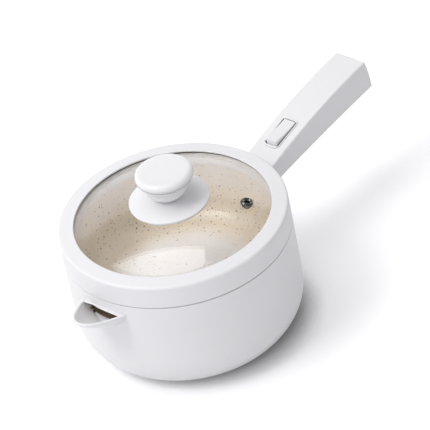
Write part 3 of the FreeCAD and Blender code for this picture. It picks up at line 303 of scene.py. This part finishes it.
def etched_skin():
    """Moulded surface: a faint drift of tone, a fine grain in the normal, an uneven gloss."""
    group, given, out = new_group("etched_skin", "ShaderNodeTree", [
        ("Colour", "NodeSocketColor", (0.8, 0.8, 0.8, 1.0)),
        ("Drift", "NodeSocketFloat", TONE_DRIFT),
        ("Mottle Size", "NodeSocketFloat", MOTTLE_SIZE),
        ("Grain Size", "NodeSocketFloat", ETCH_SIZE),
        ("Grain Depth", "NodeSocketFloat", ETCH_DEPTH),
        ("Roughness", "NodeSocketFloat", 0.4),
    ], SKIN_OUTPUTS)
    place = own_place(group)
    cloud = noise(group, place, maths(group, "DIVIDE", 1.0, given.outputs["Mottle Size"]), 3.0)
    grain = noise(group, place, maths(group, "DIVIDE", 1.0, given.outputs["Grain Size"]), 2.0)
    swing = maths(group, "SUBTRACT", cloud, 0.5)
    swing = maths(group, "MULTIPLY", swing, given.outputs["Drift"])
    level = maths(group, "ADD", swing, 1.0)
    rub = maths(group, "MULTIPLY_ADD", grain, 2 * GLOSS_SWING, -GLOSS_SWING)
    feed(group, out.inputs["Colour"], scaled(group, given.outputs["Colour"], level))
    feed(group, out.inputs["Roughness"], maths(group, "ADD", given.outputs["Roughness"], rub))
    feed(group, out.inputs["Normal"], bump(group, grain, given.outputs["Grain Depth"]))
    return group


SKIN = etched_skin()


def put_on(tree, bsdf, group, **values):
    """Puts a skin group into a material, with its inputs by name, and takes its outputs."""
    skin = tree.nodes.new("ShaderNodeGroup")
    skin.node_tree = group
    for key, value in values.items():
        feed(tree, skin.inputs[key.replace("_", " ")], value)
    tree.links.new(skin.outputs["Colour"], bsdf.inputs["Base Color"])
    tree.links.new(skin.outputs["Roughness"], bsdf.inputs["Roughness"])
    tree.links.new(skin.outputs["Normal"], bsdf.inputs["Normal"])


def moulded(name, colour, roughness, drift=TONE_DRIFT, grain=ETCH_SIZE, depth=ETCH_DEPTH,
            mottle=MOTTLE_SIZE, **values):
    """A material for a moulding: the etched skin on a Principled surface."""
    material, tree, bsdf = shader(name, **values)
    put_on(tree, bsdf, SKIN, Colour=colour, Roughness=roughness, Drift=drift, Grain_Size=grain,
           Grain_Depth=depth, Mottle_Size=mottle)
    return material


def settle(piece, *names):
    """A piece stands for its nodes and rides with them."""
    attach(piece, BODY_OF[names[0]])
    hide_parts(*names)


def plain_mesh(piece):
    """The mesh that a piece's curve or modifiers make."""
    graph = bpy.context.evaluated_depsgraph_get()
    return bpy.data.meshes.new_from_object(piece.evaluated_get(graph), depsgraph=graph)


def bake_modifiers(piece):
    """Turns a piece's modifiers into plain mesh."""
    made = plain_mesh(piece)
    piece.modifiers.clear()
    piece.data = made


def smooth_copy(name, material, angle=CREASE_ANGLE):
    """A node's own surface, joined up, with round faces smooth and real edges crisp."""
    mesh = frame["nodes"][name].data.copy()
    mesh.name = name + "_surface"
    form = bmesh.new()
    form.from_mesh(mesh)
    bmesh.ops.remove_doubles(form, verts=form.verts, dist=MERGE_REACH)
    form.to_mesh(mesh)
    form.free()
    mesh.materials.clear()
    mesh.materials.append(material)
    mesh.shade_smooth()
    mesh.set_sharp_from_angle(angle=math.radians(angle))
    piece = bpy.data.objects.new(name + "_surface", mesh)
    bpy.context.scene.collection.objects.link(piece)
    weigh = piece.modifiers.new("weigh", "WEIGHTED_NORMAL")
    weigh.keep_sharp = True
    bake_modifiers(piece)
    settle(piece, name)


def lip_bead(material):
    """The rounded bead along the edge of the pour lip, a bow in plan that climbs to its tip."""
    root_x = LIP_ROOT_INSET - math.sqrt(BODY_RADIUS ** 2 - LIP_HALF_WIDTH ** 2)
    root_y = LIP_HALF_WIDTH - LIP_WALL / 2
    tip_x = BEAD_RADIUS - BODY_RADIUS - LIP_REACH
    climb = LIP_TIP_HEIGHT - LIP_ROOT_HEIGHT
    points = []
    for k in range(BEAD_STEPS + 1):
        side = 2.0 * k / BEAD_STEPS - 1.0
        bow = 1.0 - abs(side) ** BEAD_FULLNESS
        x = root_x + (tip_x - root_x) * bow
        y = root_y * side
        if math.hypot(x, y) > BODY_RADIUS - BEAD_START:
            points.append((x, y, LIP_ROOT_HEIGHT + climb * bow - BEAD_DROP))
    line = bpy.data.curves.new("lip_bead", "CURVE")
    line.dimensions = "3D"
    line.bevel_depth = BEAD_RADIUS / 1000
    line.bevel_resolution = BEAD_ROUNDING
    line.use_fill_caps = True
    run = line.splines.new("POLY")
    run.points.add(len(points) - 1)
    for spot, place in zip(run.points, points):
        spot.co = (*(v / 1000 for v in place), 1.0)
    bead = bpy.data.objects.new("lip_bead", line)
    bpy.context.scene.collection.objects.link(bead)
    mesh = plain_mesh(bead)
    bpy.data.objects.remove(bead)
    mesh.materials.clear()
    mesh.materials.append(material)
    mesh.shade_smooth()
    piece = bpy.data.objects.new("lip_bead", mesh)
    bpy.context.scene.collection.objects.link(piece)
    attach(piece, "base")


body_white = moulded("body_white", SHELL_WHITE, SHELL_ROUGHNESS)
smooth_copy("outer_shell", body_white, SHELL_CREASE)
lip_bead(body_white)


# ---------------------------------------------------------------- Inner pot
# A drawn aluminium pot with a rolled rim, coated inside and out with a beige non-stick glaze
# that has brown flecks of two sizes in it. Painted shade deepens the glaze's tone round the
# floor's corner, and a painted pool of light pales the flat of the floor, where the flecks are
# fewer.
POT_BEIGE = (0.70, 0.605, 0.52)
POT_PALE = (0.80, 0.725, 0.665)
# Painted shade round the floor's corner and painted light on the flat of the floor, as colour
# factors.
POT_CORNER_SHADE = (1.0, 0.975, 0.88)
POT_FLOOR_LIGHT = (1.01, 1.085, 1.21)
CORNER_TOP = 0.085
CORNER_LOW = 0.073
FLOOR_FLAT = 0.044
FLOOR_EDGE = 0.070
CLOUD_SCALE = 45.0
PEEL_SCALE = 900.0
PEEL_DEPTH = 0.00002
GLAZE_ROUGHNESS = (0.28, 0.42)
GLAZE_COAT = 0.25
GLAZE_COAT_ROUGHNESS = 0.18
FLECK_BROWN = (0.085, 0.040, 0.014)
FLECK_TAN = (0.33, 0.22, 0.12)
FLECK_CELLS = 340.0
FLECK_REACH = 0.27
FLECK_SHARE = 0.28
FLECK_SHARE_LOW = 0.95
FLECK_FINE_CELLS = 520.0
FLECK_FINE_REACH = 0.32
FLECK_FINE_SHARE = 0.5
FLECK_EDGE = 0.05
FLOOR_THINNING = 0.6


def flecks(tree, place, cells, reach, share):
    """A mask of round flecks: one in some cells, each of its own size."""
    grid = node(tree, "ShaderNodeTexVoronoi", Vector=place, Scale=cells, Randomness=1.0)
    parts = node(tree, "ShaderNodeSeparateColor", Color=grid.outputs["Color"])
    size = maths(tree, "MULTIPLY", parts.outputs[0], reach)
    gap = maths(tree, "SUBTRACT", size, grid.outputs["Distance"])
    chosen = maths(tree, "LESS_THAN", parts.outputs[1], share)
    return maths(tree, "MULTIPLY", ramp(tree, gap, (0.0, FLECK_EDGE)), chosen)


def glazed():
    """The speckled non-stick glaze."""
    material, tree, bsdf = shader("speckled_glaze", Coat_Weight=GLAZE_COAT,
                                  Coat_Roughness=GLAZE_COAT_ROUGHNESS)
    place = own_place(tree)
    beige = blend(tree, noise(tree, place, CLOUD_SCALE, 4.0), POT_BEIGE, POT_PALE)
    height = node(tree, "ShaderNodeSeparateXYZ", Vector=place).outputs["Z"]
    low = ramp(tree, height, (CORNER_LOW, CORNER_TOP), (1.0, 0.0), "SMOOTHSTEP")
    flat = node(tree, "ShaderNodeVectorMath", operation="MULTIPLY", in_0=place,
                in_1=(1.0, 1.0, 0.0))
    radius = node(tree, "ShaderNodeVectorMath", operation="LENGTH", in_0=flat.outputs[0])
    middle = ramp(tree, radius.outputs["Value"], (FLOOR_FLAT, FLOOR_EDGE), (1.0, 0.0),
                  "SMOOTHSTEP")
    # Painted shade and light: a deeper tone round the floor's corner, a paler one on the flat of
    # the floor.
    painted_light_and_shade = blend(tree, low, WHITE, blend(tree, middle, POT_CORNER_SHADE, POT_FLOOR_LIGHT))
    beige = node(tree, "ShaderNodeVectorMath", operation="MULTIPLY", in_0=beige, in_1=painted_light_and_shade)
    calm = maths(tree, "MULTIPLY_ADD", middle, -FLOOR_THINNING, 1.0)
    crowd = ramp(tree, low, levels=(FLECK_SHARE, FLECK_SHARE_LOW))
    crowd = maths(tree, "MULTIPLY", crowd, calm)
    few = maths(tree, "MULTIPLY", calm, FLECK_FINE_SHARE)
    fine = flecks(tree, place, FLECK_FINE_CELLS, FLECK_FINE_REACH, few)
    large = flecks(tree, place, FLECK_CELLS, FLECK_REACH, crowd)
    colour = blend(tree, fine, beige.outputs[0], FLECK_TAN)
    colour = blend(tree, large, colour, FLECK_BROWN)
    peel = noise(tree, place, PEEL_SCALE, 2.0)
    tree.links.new(colour, bsdf.inputs["Base Color"])
    tree.links.new(ramp(tree, peel, levels=GLAZE_ROUGHNESS), bsdf.inputs["Roughness"])
    tree.links.new(bump(tree, peel, PEEL_DEPTH), bsdf.inputs["Normal"])
    return material


smooth_copy("inner_pot", glazed())


# ---------------------------------------------------------------- Collar and seals of the pot
# A white plastic collar closes the space between wall and pot. Silicone sleeves and rings,
# cloudy and soft, seal it to the pot's rim and join the pot's window to the pour slot.
def dress(material, *names):
    """Gives CAD nodes their material."""
    for name in names:
        frame["nodes"][name].data.materials.clear()
        frame["nodes"][name].data.materials.append(material)


inner_white = moulded("inner_white", (0.80, 0.80, 0.81), 0.48, drift=0.05)
cloudy_silicone = moulded("cloudy_silicone", (0.78, 0.78, 0.76), 0.5, drift=0.08, grain=0.0006,
                          depth=0.00002, mottle=0.01, Transmission_Weight=0.25, IOR=1.41)
# The sleeve at the pour slot is dark brown silicone. Its darkness is also painted shade for the
# deep slot behind the lip.
brown_silicone = moulded("brown_silicone", (0.14, 0.095, 0.058), 0.5, drift=0.2, grain=0.0006,
                         depth=0.00002)
dress(inner_white, "top_collar")
dress(cloudy_silicone, "rim_gasket")
dress(brown_silicone, "spout_gasket")


# ---------------------------------------------------------------- Heater
# A cast aluminium plate with the heating tube in its ridge, two ceramic beads with pins,
# a button thermostat under a steel strap and a thermal fuse in a steel clip.
MARK_SIZE = 0.0006
MARK_DEPTH = 0.00001
METAL_CLOUD_SCALE = 70.0
METAL_TONE = (0.86, 1.08)
METAL_GLOSS = (-0.10, 0.10)


def worked_metal():
    """Metal skin: uneven gloss and fine marks in one direction, or none at a stretch of 1."""
    group, given, out = new_group("worked_metal", "ShaderNodeTree", [
        ("Colour", "NodeSocketColor", (0.7, 0.7, 0.7, 1.0)),
        ("Roughness", "NodeSocketFloat", 0.35),
        ("Mark Size", "NodeSocketFloat", MARK_SIZE),
        ("Stretch", "NodeSocketFloat", 1.0),
        ("Depth", "NodeSocketFloat", MARK_DEPTH),
    ], SKIN_OUTPUTS)
    place = own_place(group)
    aim = node(group, "ShaderNodeCombineXYZ", X=1.0, Y=given.outputs["Stretch"], Z=1.0)
    drawn = node(group, "ShaderNodeVectorMath", operation="MULTIPLY", in_0=place,
                 in_1=aim.outputs[0])
    fine = maths(group, "DIVIDE", 1.0, given.outputs["Mark Size"])
    marks = noise(group, drawn.outputs[0], fine, 3.0)
    cloud = noise(group, place, METAL_CLOUD_SCALE, 3.0)
    level = ramp(group, cloud, levels=METAL_TONE)
    swing = ramp(group, marks, levels=METAL_GLOSS)
    feed(group, out.inputs["Colour"], scaled(group, given.outputs["Colour"], level))
    feed(group, out.inputs["Roughness"], maths(group, "ADD", given.outputs["Roughness"], swing))
    feed(group, out.inputs["Normal"], bump(group, marks, given.outputs["Depth"]))
    return group


METAL = worked_metal()


def metal(name, colour, roughness, mark=MARK_SIZE, stretch=1.0, depth=MARK_DEPTH):
    """A bare metal."""
    material, tree, bsdf = shader(name, Metallic=1.0)
    put_on(tree, bsdf, METAL, Colour=colour, Roughness=roughness, Mark_Size=mark,
           Stretch=stretch, Depth=depth)
    return material


cast_aluminium = metal("cast_aluminium", (0.66, 0.67, 0.68), 0.52, mark=0.0015, depth=0.00012)
zinc_plate = metal("zinc_plate", (0.66, 0.68, 0.70), 0.34, stretch=12.0)
black_phenolic = moulded("black_phenolic", (0.028, 0.028, 0.030), 0.42, drift=0.3,
                         grain=0.0005, depth=0.00003)
fired_ceramic = moulded("fired_ceramic", (0.82, 0.79, 0.72), 0.38, drift=0.12,
                        grain=0.0004, depth=0.00003)
dress(cast_aluminium, "heater_plate")
dress(zinc_plate, "thermostat_strap", "fuse_clip", "handle_bracket")
dress(black_phenolic, "thermostat")
dress(fired_ceramic, "thermal_fuse", "heater_terminals")


# ---------------------------------------------------------------- Base
# A round white cover closes the bottom, with a ring of vent slots and three screws in
# wells. A grey rubber ring under it is the foot that the pot stands on.
foot_rubber = moulded("foot_rubber", (0.36, 0.36, 0.375), 0.72, drift=0.15, grain=0.0008,
                      depth=0.00006)
smooth_copy("base_cover", inner_white)
smooth_copy("foot_ring", foot_rubber)


# ---------------------------------------------------------------- Screws
# Zinc-plated pan-head screws with a cross in the head: three in the base, three under the
# handle, two behind its root, two on the thermostat's strap and one up into the knob. The
# three in the base show from below. Their sizes are in millimetres.
SCREW_CIRCLE = 30.0
SCREW_ANGLES = (30, 150, 270)
SCREW_SEAT = 4.4
SCREW_HEAD_RADIUS = 3.7
SCREW_HEAD_HEIGHT = 2.0
SCREW_SHANK_RADIUS = 2.0
SCREW_LENGTH = 17.5
SCREW_PITCH = 1.2
SCREW_CREASE = 30.0
CROSS_REACH = 1.15
CROSS_WIDTH = 0.22
CROSS_DEPTH = 1.3
CORE_SHARE = 0.86
RIDGE_SHARE = 0.13


def screw_tree():
    """Pan heads with a cross recess, each on a shank with a thread, at the given points."""
    tree, given, out = new_group("pan_screws", "GeometryNodeTree", [
        ("Geometry", "NodeSocketGeometry", None),
        ("Head Radius", "NodeSocketFloat", 0.0037),
        ("Head Height", "NodeSocketFloat", 0.002),
        ("Shank Radius", "NodeSocketFloat", 0.002),
        ("Length", "NodeSocketFloat", 0.012),
        ("Pitch", "NodeSocketFloat", 0.0012),
        ("Material", "NodeSocketMaterial", None),
    ], [("Geometry", "NodeSocketGeometry")])
    radius = given.outputs["Head Radius"]
    height = given.outputs["Head Height"]
    shank = given.outputs["Shank Radius"]
    length = given.outputs["Length"]
    ball = node(tree, "GeometryNodeMeshUVSphere", Segments=40, Rings=20, Radius=1.0)
    place = node(tree, "GeometryNodeInputPosition")
    split = node(tree, "ShaderNodeSeparateXYZ", Vector=place.outputs[0])
    under = maths(tree, "MINIMUM", split.outputs["Z"], 0.0)
    spot = node(tree, "ShaderNodeCombineXYZ",
                X=maths(tree, "MULTIPLY", split.outputs["X"], radius),
                Y=maths(tree, "MULTIPLY", split.outputs["Y"], radius),
                Z=maths(tree, "MULTIPLY", under, height))
    head = node(tree, "GeometryNodeSetPosition", Geometry=ball.outputs["Mesh"],
                Position=spot.outputs[0])
    arm = maths(tree, "MULTIPLY", radius, CROSS_REACH)
    slot = maths(tree, "MULTIPLY", radius, CROSS_WIDTH)
    deep = maths(tree, "MULTIPLY", height, CROSS_DEPTH)
    lower = node(tree, "ShaderNodeCombineXYZ", X=0.0, Y=0.0,
                 Z=maths(tree, "MULTIPLY", height, -1.0))
    crossed = node(tree, "GeometryNodeMeshBoolean", operation="DIFFERENCE",
                   in_0=head.outputs[0])
    for x, y in ((arm, slot), (slot, arm)):
        size = node(tree, "ShaderNodeCombineXYZ", X=x, Y=y, Z=deep)
        bar = node(tree, "GeometryNodeMeshCube", Size=size.outputs[0])
        cut = node(tree, "GeometryNodeTransform", Geometry=bar.outputs["Mesh"],
                   Translation=lower.outputs[0])
        tree.links.new(cut.outputs[0], crossed.inputs["Mesh 2"])
    core = maths(tree, "MULTIPLY", shank, CORE_SHARE)
    rod = node(tree, "GeometryNodeMeshCylinder", Vertices=24, Radius=core, Depth=length)
    lift = node(tree, "ShaderNodeCombineXYZ", X=0.0, Y=0.0,
                Z=maths(tree, "MULTIPLY", length, 0.5))
    stud = node(tree, "GeometryNodeTransform", Geometry=rod.outputs["Mesh"],
                Translation=lift.outputs[0])
    helix = node(tree, "GeometryNodeCurveSpiral", Resolution=24, Start_Radius=core,
                 End_Radius=core, Height=length,
                 Rotations=maths(tree, "DIVIDE", length, given.outputs["Pitch"]))
    tooth = node(tree, "GeometryNodeCurvePrimitiveCircle", Resolution=4,
                 Radius=maths(tree, "MULTIPLY", shank, RIDGE_SHARE))
    thread = node(tree, "GeometryNodeCurveToMesh", Curve=helix.outputs[0],
                  Profile_Curve=tooth.outputs["Curve"], Fill_Caps=True)
    whole = tree.nodes.new("GeometryNodeJoinGeometry")
    for part in (thread, stud, crossed):
        tree.links.new(part.outputs[0], whole.inputs[0])
    spread = node(tree, "GeometryNodeInstanceOnPoints", Points=given.outputs["Geometry"],
                  Instance=whole.outputs[0])
    real = node(tree, "GeometryNodeRealizeInstances", Geometry=spread.outputs[0])
    done = node(tree, "GeometryNodeSetMaterial", Geometry=real.outputs[0],
                Material=given.outputs["Material"])
    tree.links.new(done.outputs[0], out.inputs[0])
    return tree


def run_tree(name, tree, mesh, values):
    """A piece made by a geometry tree on a starting mesh, turned into plain mesh."""
    piece = bpy.data.objects.new(name, mesh)
    bpy.context.scene.collection.objects.link(piece)
    maker = piece.modifiers.new("maker", "NODES")
    maker.node_group = tree
    items = [item for item in tree.interface.items_tree if item.in_out == "INPUT"]
    sockets = {item.name: item.identifier for item in items}
    for label, value in values.items():
        maker[sockets[label]] = value
    bake_modifiers(piece)
    return piece


seats = bpy.data.meshes.new("base_screws_seats")
places = [(*polar(SCREW_CIRCLE, angle), SCREW_SEAT) for angle in SCREW_ANGLES]
seats.from_pydata([[v / 1000 for v in place] for place in places], [], [])
base_screws = run_tree("base_screws_crossed", screw_tree(), seats, {
    "Head Radius": SCREW_HEAD_RADIUS / 1000, "Head Height": SCREW_HEAD_HEIGHT / 1000,
    "Shank Radius": SCREW_SHANK_RADIUS / 1000, "Length": SCREW_LENGTH / 1000,
    "Pitch": SCREW_PITCH / 1000, "Material": zinc_plate})
base_screws.data.shade_smooth()
base_screws.data.set_sharp_from_angle(angle=math.radians(SCREW_CREASE))
settle(base_screws, "base_screws")
dress(zinc_plate, "strap_screws", "handle_screws", "knob_screw", "handle_cover_screws")


# ---------------------------------------------------------------- Handle
# The handle is a hollow moulding in the body's white, open below and closed by a long cover
# that is let into its underside. A steel bracket inside the wall takes its two screws.
smooth_copy("handle_body", body_white)
smooth_copy("handle_cover", inner_white)


# ---------------------------------------------------------------- Switch
# A rocker in a flush bezel on the handle's top, both moulded in a glossier white. Painted
# shade darkens the bezel along the long sides of its opening, where the gap holds shadow.
# The rocker rocks on two side pins. A black housing with brass tabs is below.
SWITCH_WHITE = (0.835, 0.835, 0.842)
SWITCH_ROUGHNESS = 0.28
HANDLE_RUN = (0.9722, 0.0, 0.2342)
SWITCH_CENTRE = 0.15899
OPENING_HALF_LENGTH = 0.0138
OPENING_HALF_WIDTH = 0.0065
GAP_SHADE_WIDTH = 0.0005
GAP_SHADE_FADE = 0.0003
GAP_SHADE_DEPTH = 0.88


def switch_plastic(name):
    """The switch's white."""
    return moulded(name, SWITCH_WHITE, SWITCH_ROUGHNESS, drift=0.02, grain=0.0006,
                   depth=0.000006)


def gap_shaded(name):
    """The switch's white, with painted shade along the long edges of the rocker's opening."""
    material = switch_plastic(name)
    tree = material.node_tree
    base = tree.nodes["Principled BSDF"].inputs["Base Color"]
    place = own_place(tree)
    along = maths(tree, "SUBTRACT", dot(tree, place, HANDLE_RUN), SWITCH_CENTRE)
    along = maths(tree, "ABSOLUTE", along)
    ends = (OPENING_HALF_LENGTH - GAP_SHADE_FADE, OPENING_HALF_LENGTH + GAP_SHADE_FADE)
    across = node(tree, "ShaderNodeSeparateXYZ", Vector=place).outputs["Y"]
    across = maths(tree, "ABSOLUTE", across)
    gap_shade_side = OPENING_HALF_WIDTH + GAP_SHADE_WIDTH
    # Painted shade: a dark band on the bezel beside the long sides of the rocker's opening.
    shade = maths(tree, "MULTIPLY", ramp(tree, along, ends, (GAP_SHADE_DEPTH, 0.0)),
                  ramp(tree, across, (gap_shade_side, gap_shade_side + GAP_SHADE_FADE), (1.0, 0.0)))
    level = maths(tree, "SUBTRACT", 1.0, shade)
    tree.links.new(scaled(tree, base.links[0].from_socket, level), base)
    return material


flashed_brass = metal("flashed_brass", (0.74, 0.62, 0.38), 0.30, mark=0.0004, stretch=8.0)
smooth_copy("switch_bezel", gap_shaded("bezel_white"))
smooth_copy("rocker_button", switch_plastic("switch_white"))
dress(black_phenolic, "switch_housing")
dress(flashed_brass, "switch_tabs")


# ---------------------------------------------------------------- Power inlet
# A recessed three-pole appliance inlet in black heat-proof plastic, snapped into the end of
# the handle, with three flat pins.
smooth_copy("inlet_socket", black_phenolic)
dress(flashed_brass, "inlet_pins")


# ---------------------------------------------------------------- Leads
# Four silicone-insulated leads run inside the handle and under the pot: two brown, one
# blue, and the earth lead, green with a yellow stripe along it.
STRIPE_EDGE = (0.35, 0.45)


def sleeving(name, colour):
    """Silicone insulation."""
    return moulded(name, colour, 0.5, drift=0.2, grain=0.0005, depth=0.00001, mottle=0.004)


def striped(name, colour, stripe):
    """Silicone insulation with a stripe along its upper side."""
    material = sleeving(name, colour)
    tree = material.node_tree
    base = tree.nodes["Principled BSDF"].inputs["Base Color"]
    normal = node(tree, "ShaderNodeNewGeometry").outputs["Normal"]
    upward = node(tree, "ShaderNodeSeparateXYZ", Vector=normal).outputs["Z"]
    upper = ramp(tree, upward, STRIPE_EDGE)
    tree.links.new(blend(tree, upper, base.links[0].from_socket, stripe), base)
    return material


dress(sleeving("brown_sleeve", (0.16, 0.075, 0.035)), "lead_live", "lead_switched")
dress(sleeving("blue_sleeve", (0.06, 0.16, 0.42)), "lead_neutral")
dress(striped("earth_sleeve", (0.08, 0.34, 0.08), (0.75, 0.62, 0.06)), "lead_earth")


# ---------------------------------------------------------------- Lid ring
# The lid's rim is a broad white moulded ring with rounded edges. A plainer ring below it
# clamps the glass, and its skirt, which shows pale grey through the glass, centres the lid.
warm_white = moulded("warm_white", (0.72, 0.69, 0.685), 0.5, drift=0.05)
black_silicone = moulded("black_silicone", (0.02, 0.02, 0.02), 0.5, drift=0.2, grain=0.0006,
                         depth=0.00002)
smooth_copy("lid_frame", body_white)
smooth_copy("lid_retainer", warm_white)
dress(cloudy_silicone, "lid_gasket", "knob_washers")
dress(black_silicone, "glass_seal")


# ---------------------------------------------------------------- Glass
# A dome of clear tempered glass, 3.8 mm thick, with a flat brim under the ring, a hole for
# the knob's screw and one for the steam vent.
GLASS_TINT = (0.975, 0.98, 0.975)
GLASS_SHADOW = (0.92, 0.93, 0.925)
GLASS_IOR = 1.5
FILM_SCALE = 30.0
FILM_HAZE = (0.0, 0.02)


def tempered_glass():
    """Clear glass that lets the lamps' light through to the pot."""
    material, tree, bsdf = shader("tempered_glass", Base_Color=GLASS_TINT,
                                  Transmission_Weight=1.0, IOR=GLASS_IOR)
    film = noise(tree, own_place(tree), FILM_SCALE, 3.0)
    tree.links.new(ramp(tree, film, levels=FILM_HAZE), bsdf.inputs["Roughness"])
    clear = node(tree, "ShaderNodeBsdfTransparent", Color=GLASS_SHADOW)
    seen = node(tree, "ShaderNodeLightPath")
    through = node(tree, "ShaderNodeMixShader", in_0=seen.outputs["Is Shadow Ray"],
                   in_1=bsdf.outputs[0], in_2=clear.outputs[0])
    tree.links.new(through.outputs[0], tree.nodes["Material Output"].inputs["Surface"])
    return material


smooth_copy("lid_glass", tempered_glass())


# ---------------------------------------------------------------- Knob
# Three glossy white turned shapes: a broad low disc on the glass, a stem that swells like a
# bowl to a thin ledge, and a thick cap with a soft edge. They snap together and one screw
# from below holds them. Their radii and heights are in millimetres.
SCREW_BORE = 2.7
DISC_RADIUS = 33.4
DISC_EDGE = 2.5
DISC_UNDER = 131.08
DISC_UNDER_RADIUS = 31.2
DISC_HOLLOW_RADIUS = 29.0
DISC_SEAT = 134.25
DISC_SEAT_RADIUS = 13.5
DISC_STEP = 0.7
DISC_TOP = 136.1
DISC_TOP_RADIUS = 21.7
FOOT_RADIUS = 10.6
FOOT_GAP = 0.4
FOOT_INSET = 0.6
FOOT_ROUND = 0.5
BOWL_FLARE = (14.0, 139.6)
BOWL_START = (16.3, 142.0)
BOWL_RADIUS = 18.4
BOWL_LOW = 144.4
BOWL_HIGH = 149.0
NECK_FLARE = 0.2
NECK_HEIGHT = 152.8
LEDGE_RADIUS = 23.1
LEDGE_UNDER = 153.5
LEDGE_TOP = 154.6
LEDGE_ROUND = 0.35
SOCKET_RADIUS = 15.2
SOCKET_FLOOR = 151.5


def turned_tree():
    """Sweeps a closed line, drawn as radius and height, round the upright axis."""
    tree, given, out = new_group("turned", "GeometryNodeTree", [
        ("Geometry", "NodeSocketGeometry", None),
        ("Hub", "NodeSocketFloat", 0.001),
        ("Steps", "NodeSocketInt", 180),
        ("Material", "NodeSocketMaterial", None),
    ], [("Geometry", "NodeSocketGeometry")])
    line = node(tree, "GeometryNodeMeshToCurve", Mesh=given.outputs["Geometry"])
    hoop = node(tree, "GeometryNodeCurvePrimitiveCircle", Resolution=given.outputs["Steps"],
                Radius=given.outputs["Hub"])
    swept = node(tree, "GeometryNodeCurveToMesh", Curve=hoop.outputs["Curve"],
                 Profile_Curve=line.outputs[0])
    done = node(tree, "GeometryNodeSetMaterial", Geometry=swept.outputs[0],
                Material=given.outputs["Material"])
    tree.links.new(done.outputs[0], out.inputs[0])
    return tree


TURNED = turned_tree()


def bend(start, pull, end, steps=8):
    """Points along a soft curve from a start towards an end, without the start."""
    shares = [k / steps for k in range(1, steps + 1)]
    return [tuple((1 - t) ** 2 * a + 2 * t * (1 - t) * b + t * t * c
                  for a, b, c in zip(start, pull, end)) for t in shares]


def turned(name, material, line, hub=1.0):
    """A node's turned shape, from its closed section as radius and height."""
    mesh = bpy.data.meshes.new(name + "_section")
    mesh.from_pydata([((r - hub) / 1000, -z / 1000, 0.0) for r, z in line],
                     [(k, (k + 1) % len(line)) for k in range(len(line))], [])
    piece = run_tree(name + "_turned", TURNED, mesh, {"Hub": hub / 1000, "Material": material})
    form = bmesh.new()
    form.from_mesh(piece.data)
    bmesh.ops.recalc_face_normals(form, faces=form.faces)
    form.to_mesh(piece.data)
    form.free()
    piece.data.shade_smooth()
    piece.data.set_sharp_from_angle(angle=math.radians(CREASE_ANGLE))
    settle(piece, name)


knob_white = moulded("knob_white", (0.845, 0.845, 0.852), 0.24, drift=0.02, grain=0.0006,
                     depth=0.000005)
rim_in = DISC_RADIUS - DISC_EDGE / 3
rim_top = DISC_UNDER + DISC_EDGE
disc = [(SCREW_BORE, DISC_SEAT), (DISC_SEAT_RADIUS, DISC_SEAT),
        (DISC_SEAT_RADIUS, DISC_SEAT - DISC_STEP),
        (DISC_HOLLOW_RADIUS, DISC_UNDER + DISC_STEP), (DISC_UNDER_RADIUS, DISC_UNDER),
        (rim_in, DISC_UNDER)]
disc += bend(disc[-1], (DISC_RADIUS, DISC_UNDER), (DISC_RADIUS, DISC_UNDER + DISC_EDGE / 2))
disc += bend(disc[-1], (DISC_RADIUS, rim_top), (rim_in, rim_top))
disc += bend(disc[-1], (DISC_TOP_RADIUS, DISC_TOP - DISC_STEP), (FOOT_RADIUS, DISC_TOP), 16)
disc += [(SCREW_BORE, DISC_TOP)]
turned("knob_base", knob_white, disc)

foot = DISC_TOP + FOOT_GAP
ledge_in = LEDGE_RADIUS - LEDGE_ROUND
stem = [(SCREW_BORE, foot), (FOOT_RADIUS - FOOT_INSET, foot)]
stem += bend(stem[-1], (FOOT_RADIUS, foot), (FOOT_RADIUS + FOOT_ROUND, foot + FOOT_ROUND), 4)
stem += bend(stem[-1], BOWL_FLARE, BOWL_START)
stem += bend(stem[-1], (BOWL_RADIUS, BOWL_LOW), (BOWL_RADIUS, BOWL_HIGH), 12)
stem += bend(stem[-1], (BOWL_RADIUS + NECK_FLARE, NECK_HEIGHT), (ledge_in, LEDGE_UNDER), 12)
stem += bend(stem[-1], (LEDGE_RADIUS, LEDGE_UNDER), (LEDGE_RADIUS, LEDGE_UNDER + LEDGE_ROUND), 4)
stem += [(LEDGE_RADIUS, LEDGE_TOP - LEDGE_ROUND)]
stem += bend(stem[-1], (LEDGE_RADIUS, LEDGE_TOP), (ledge_in, LEDGE_TOP), 4)
stem += [(SOCKET_RADIUS, LEDGE_TOP), (SOCKET_RADIUS, SOCKET_FLOOR), (SCREW_BORE, SOCKET_FLOOR)]
turned("knob_stem", knob_white, stem)
smooth_copy("knob_cap", knob_white)


# ---------------------------------------------------------------- Steam vent
# A small eyelet of dark polished steel, turned, on one side of the dome. It is pressed
# through a hole in the glass and lets the steam out.
dark_steel = metal("dark_steel", (0.20, 0.195, 0.19), 0.08, mark=0.0005, depth=0.000002)
smooth_copy("vent_grommet", dark_steel)
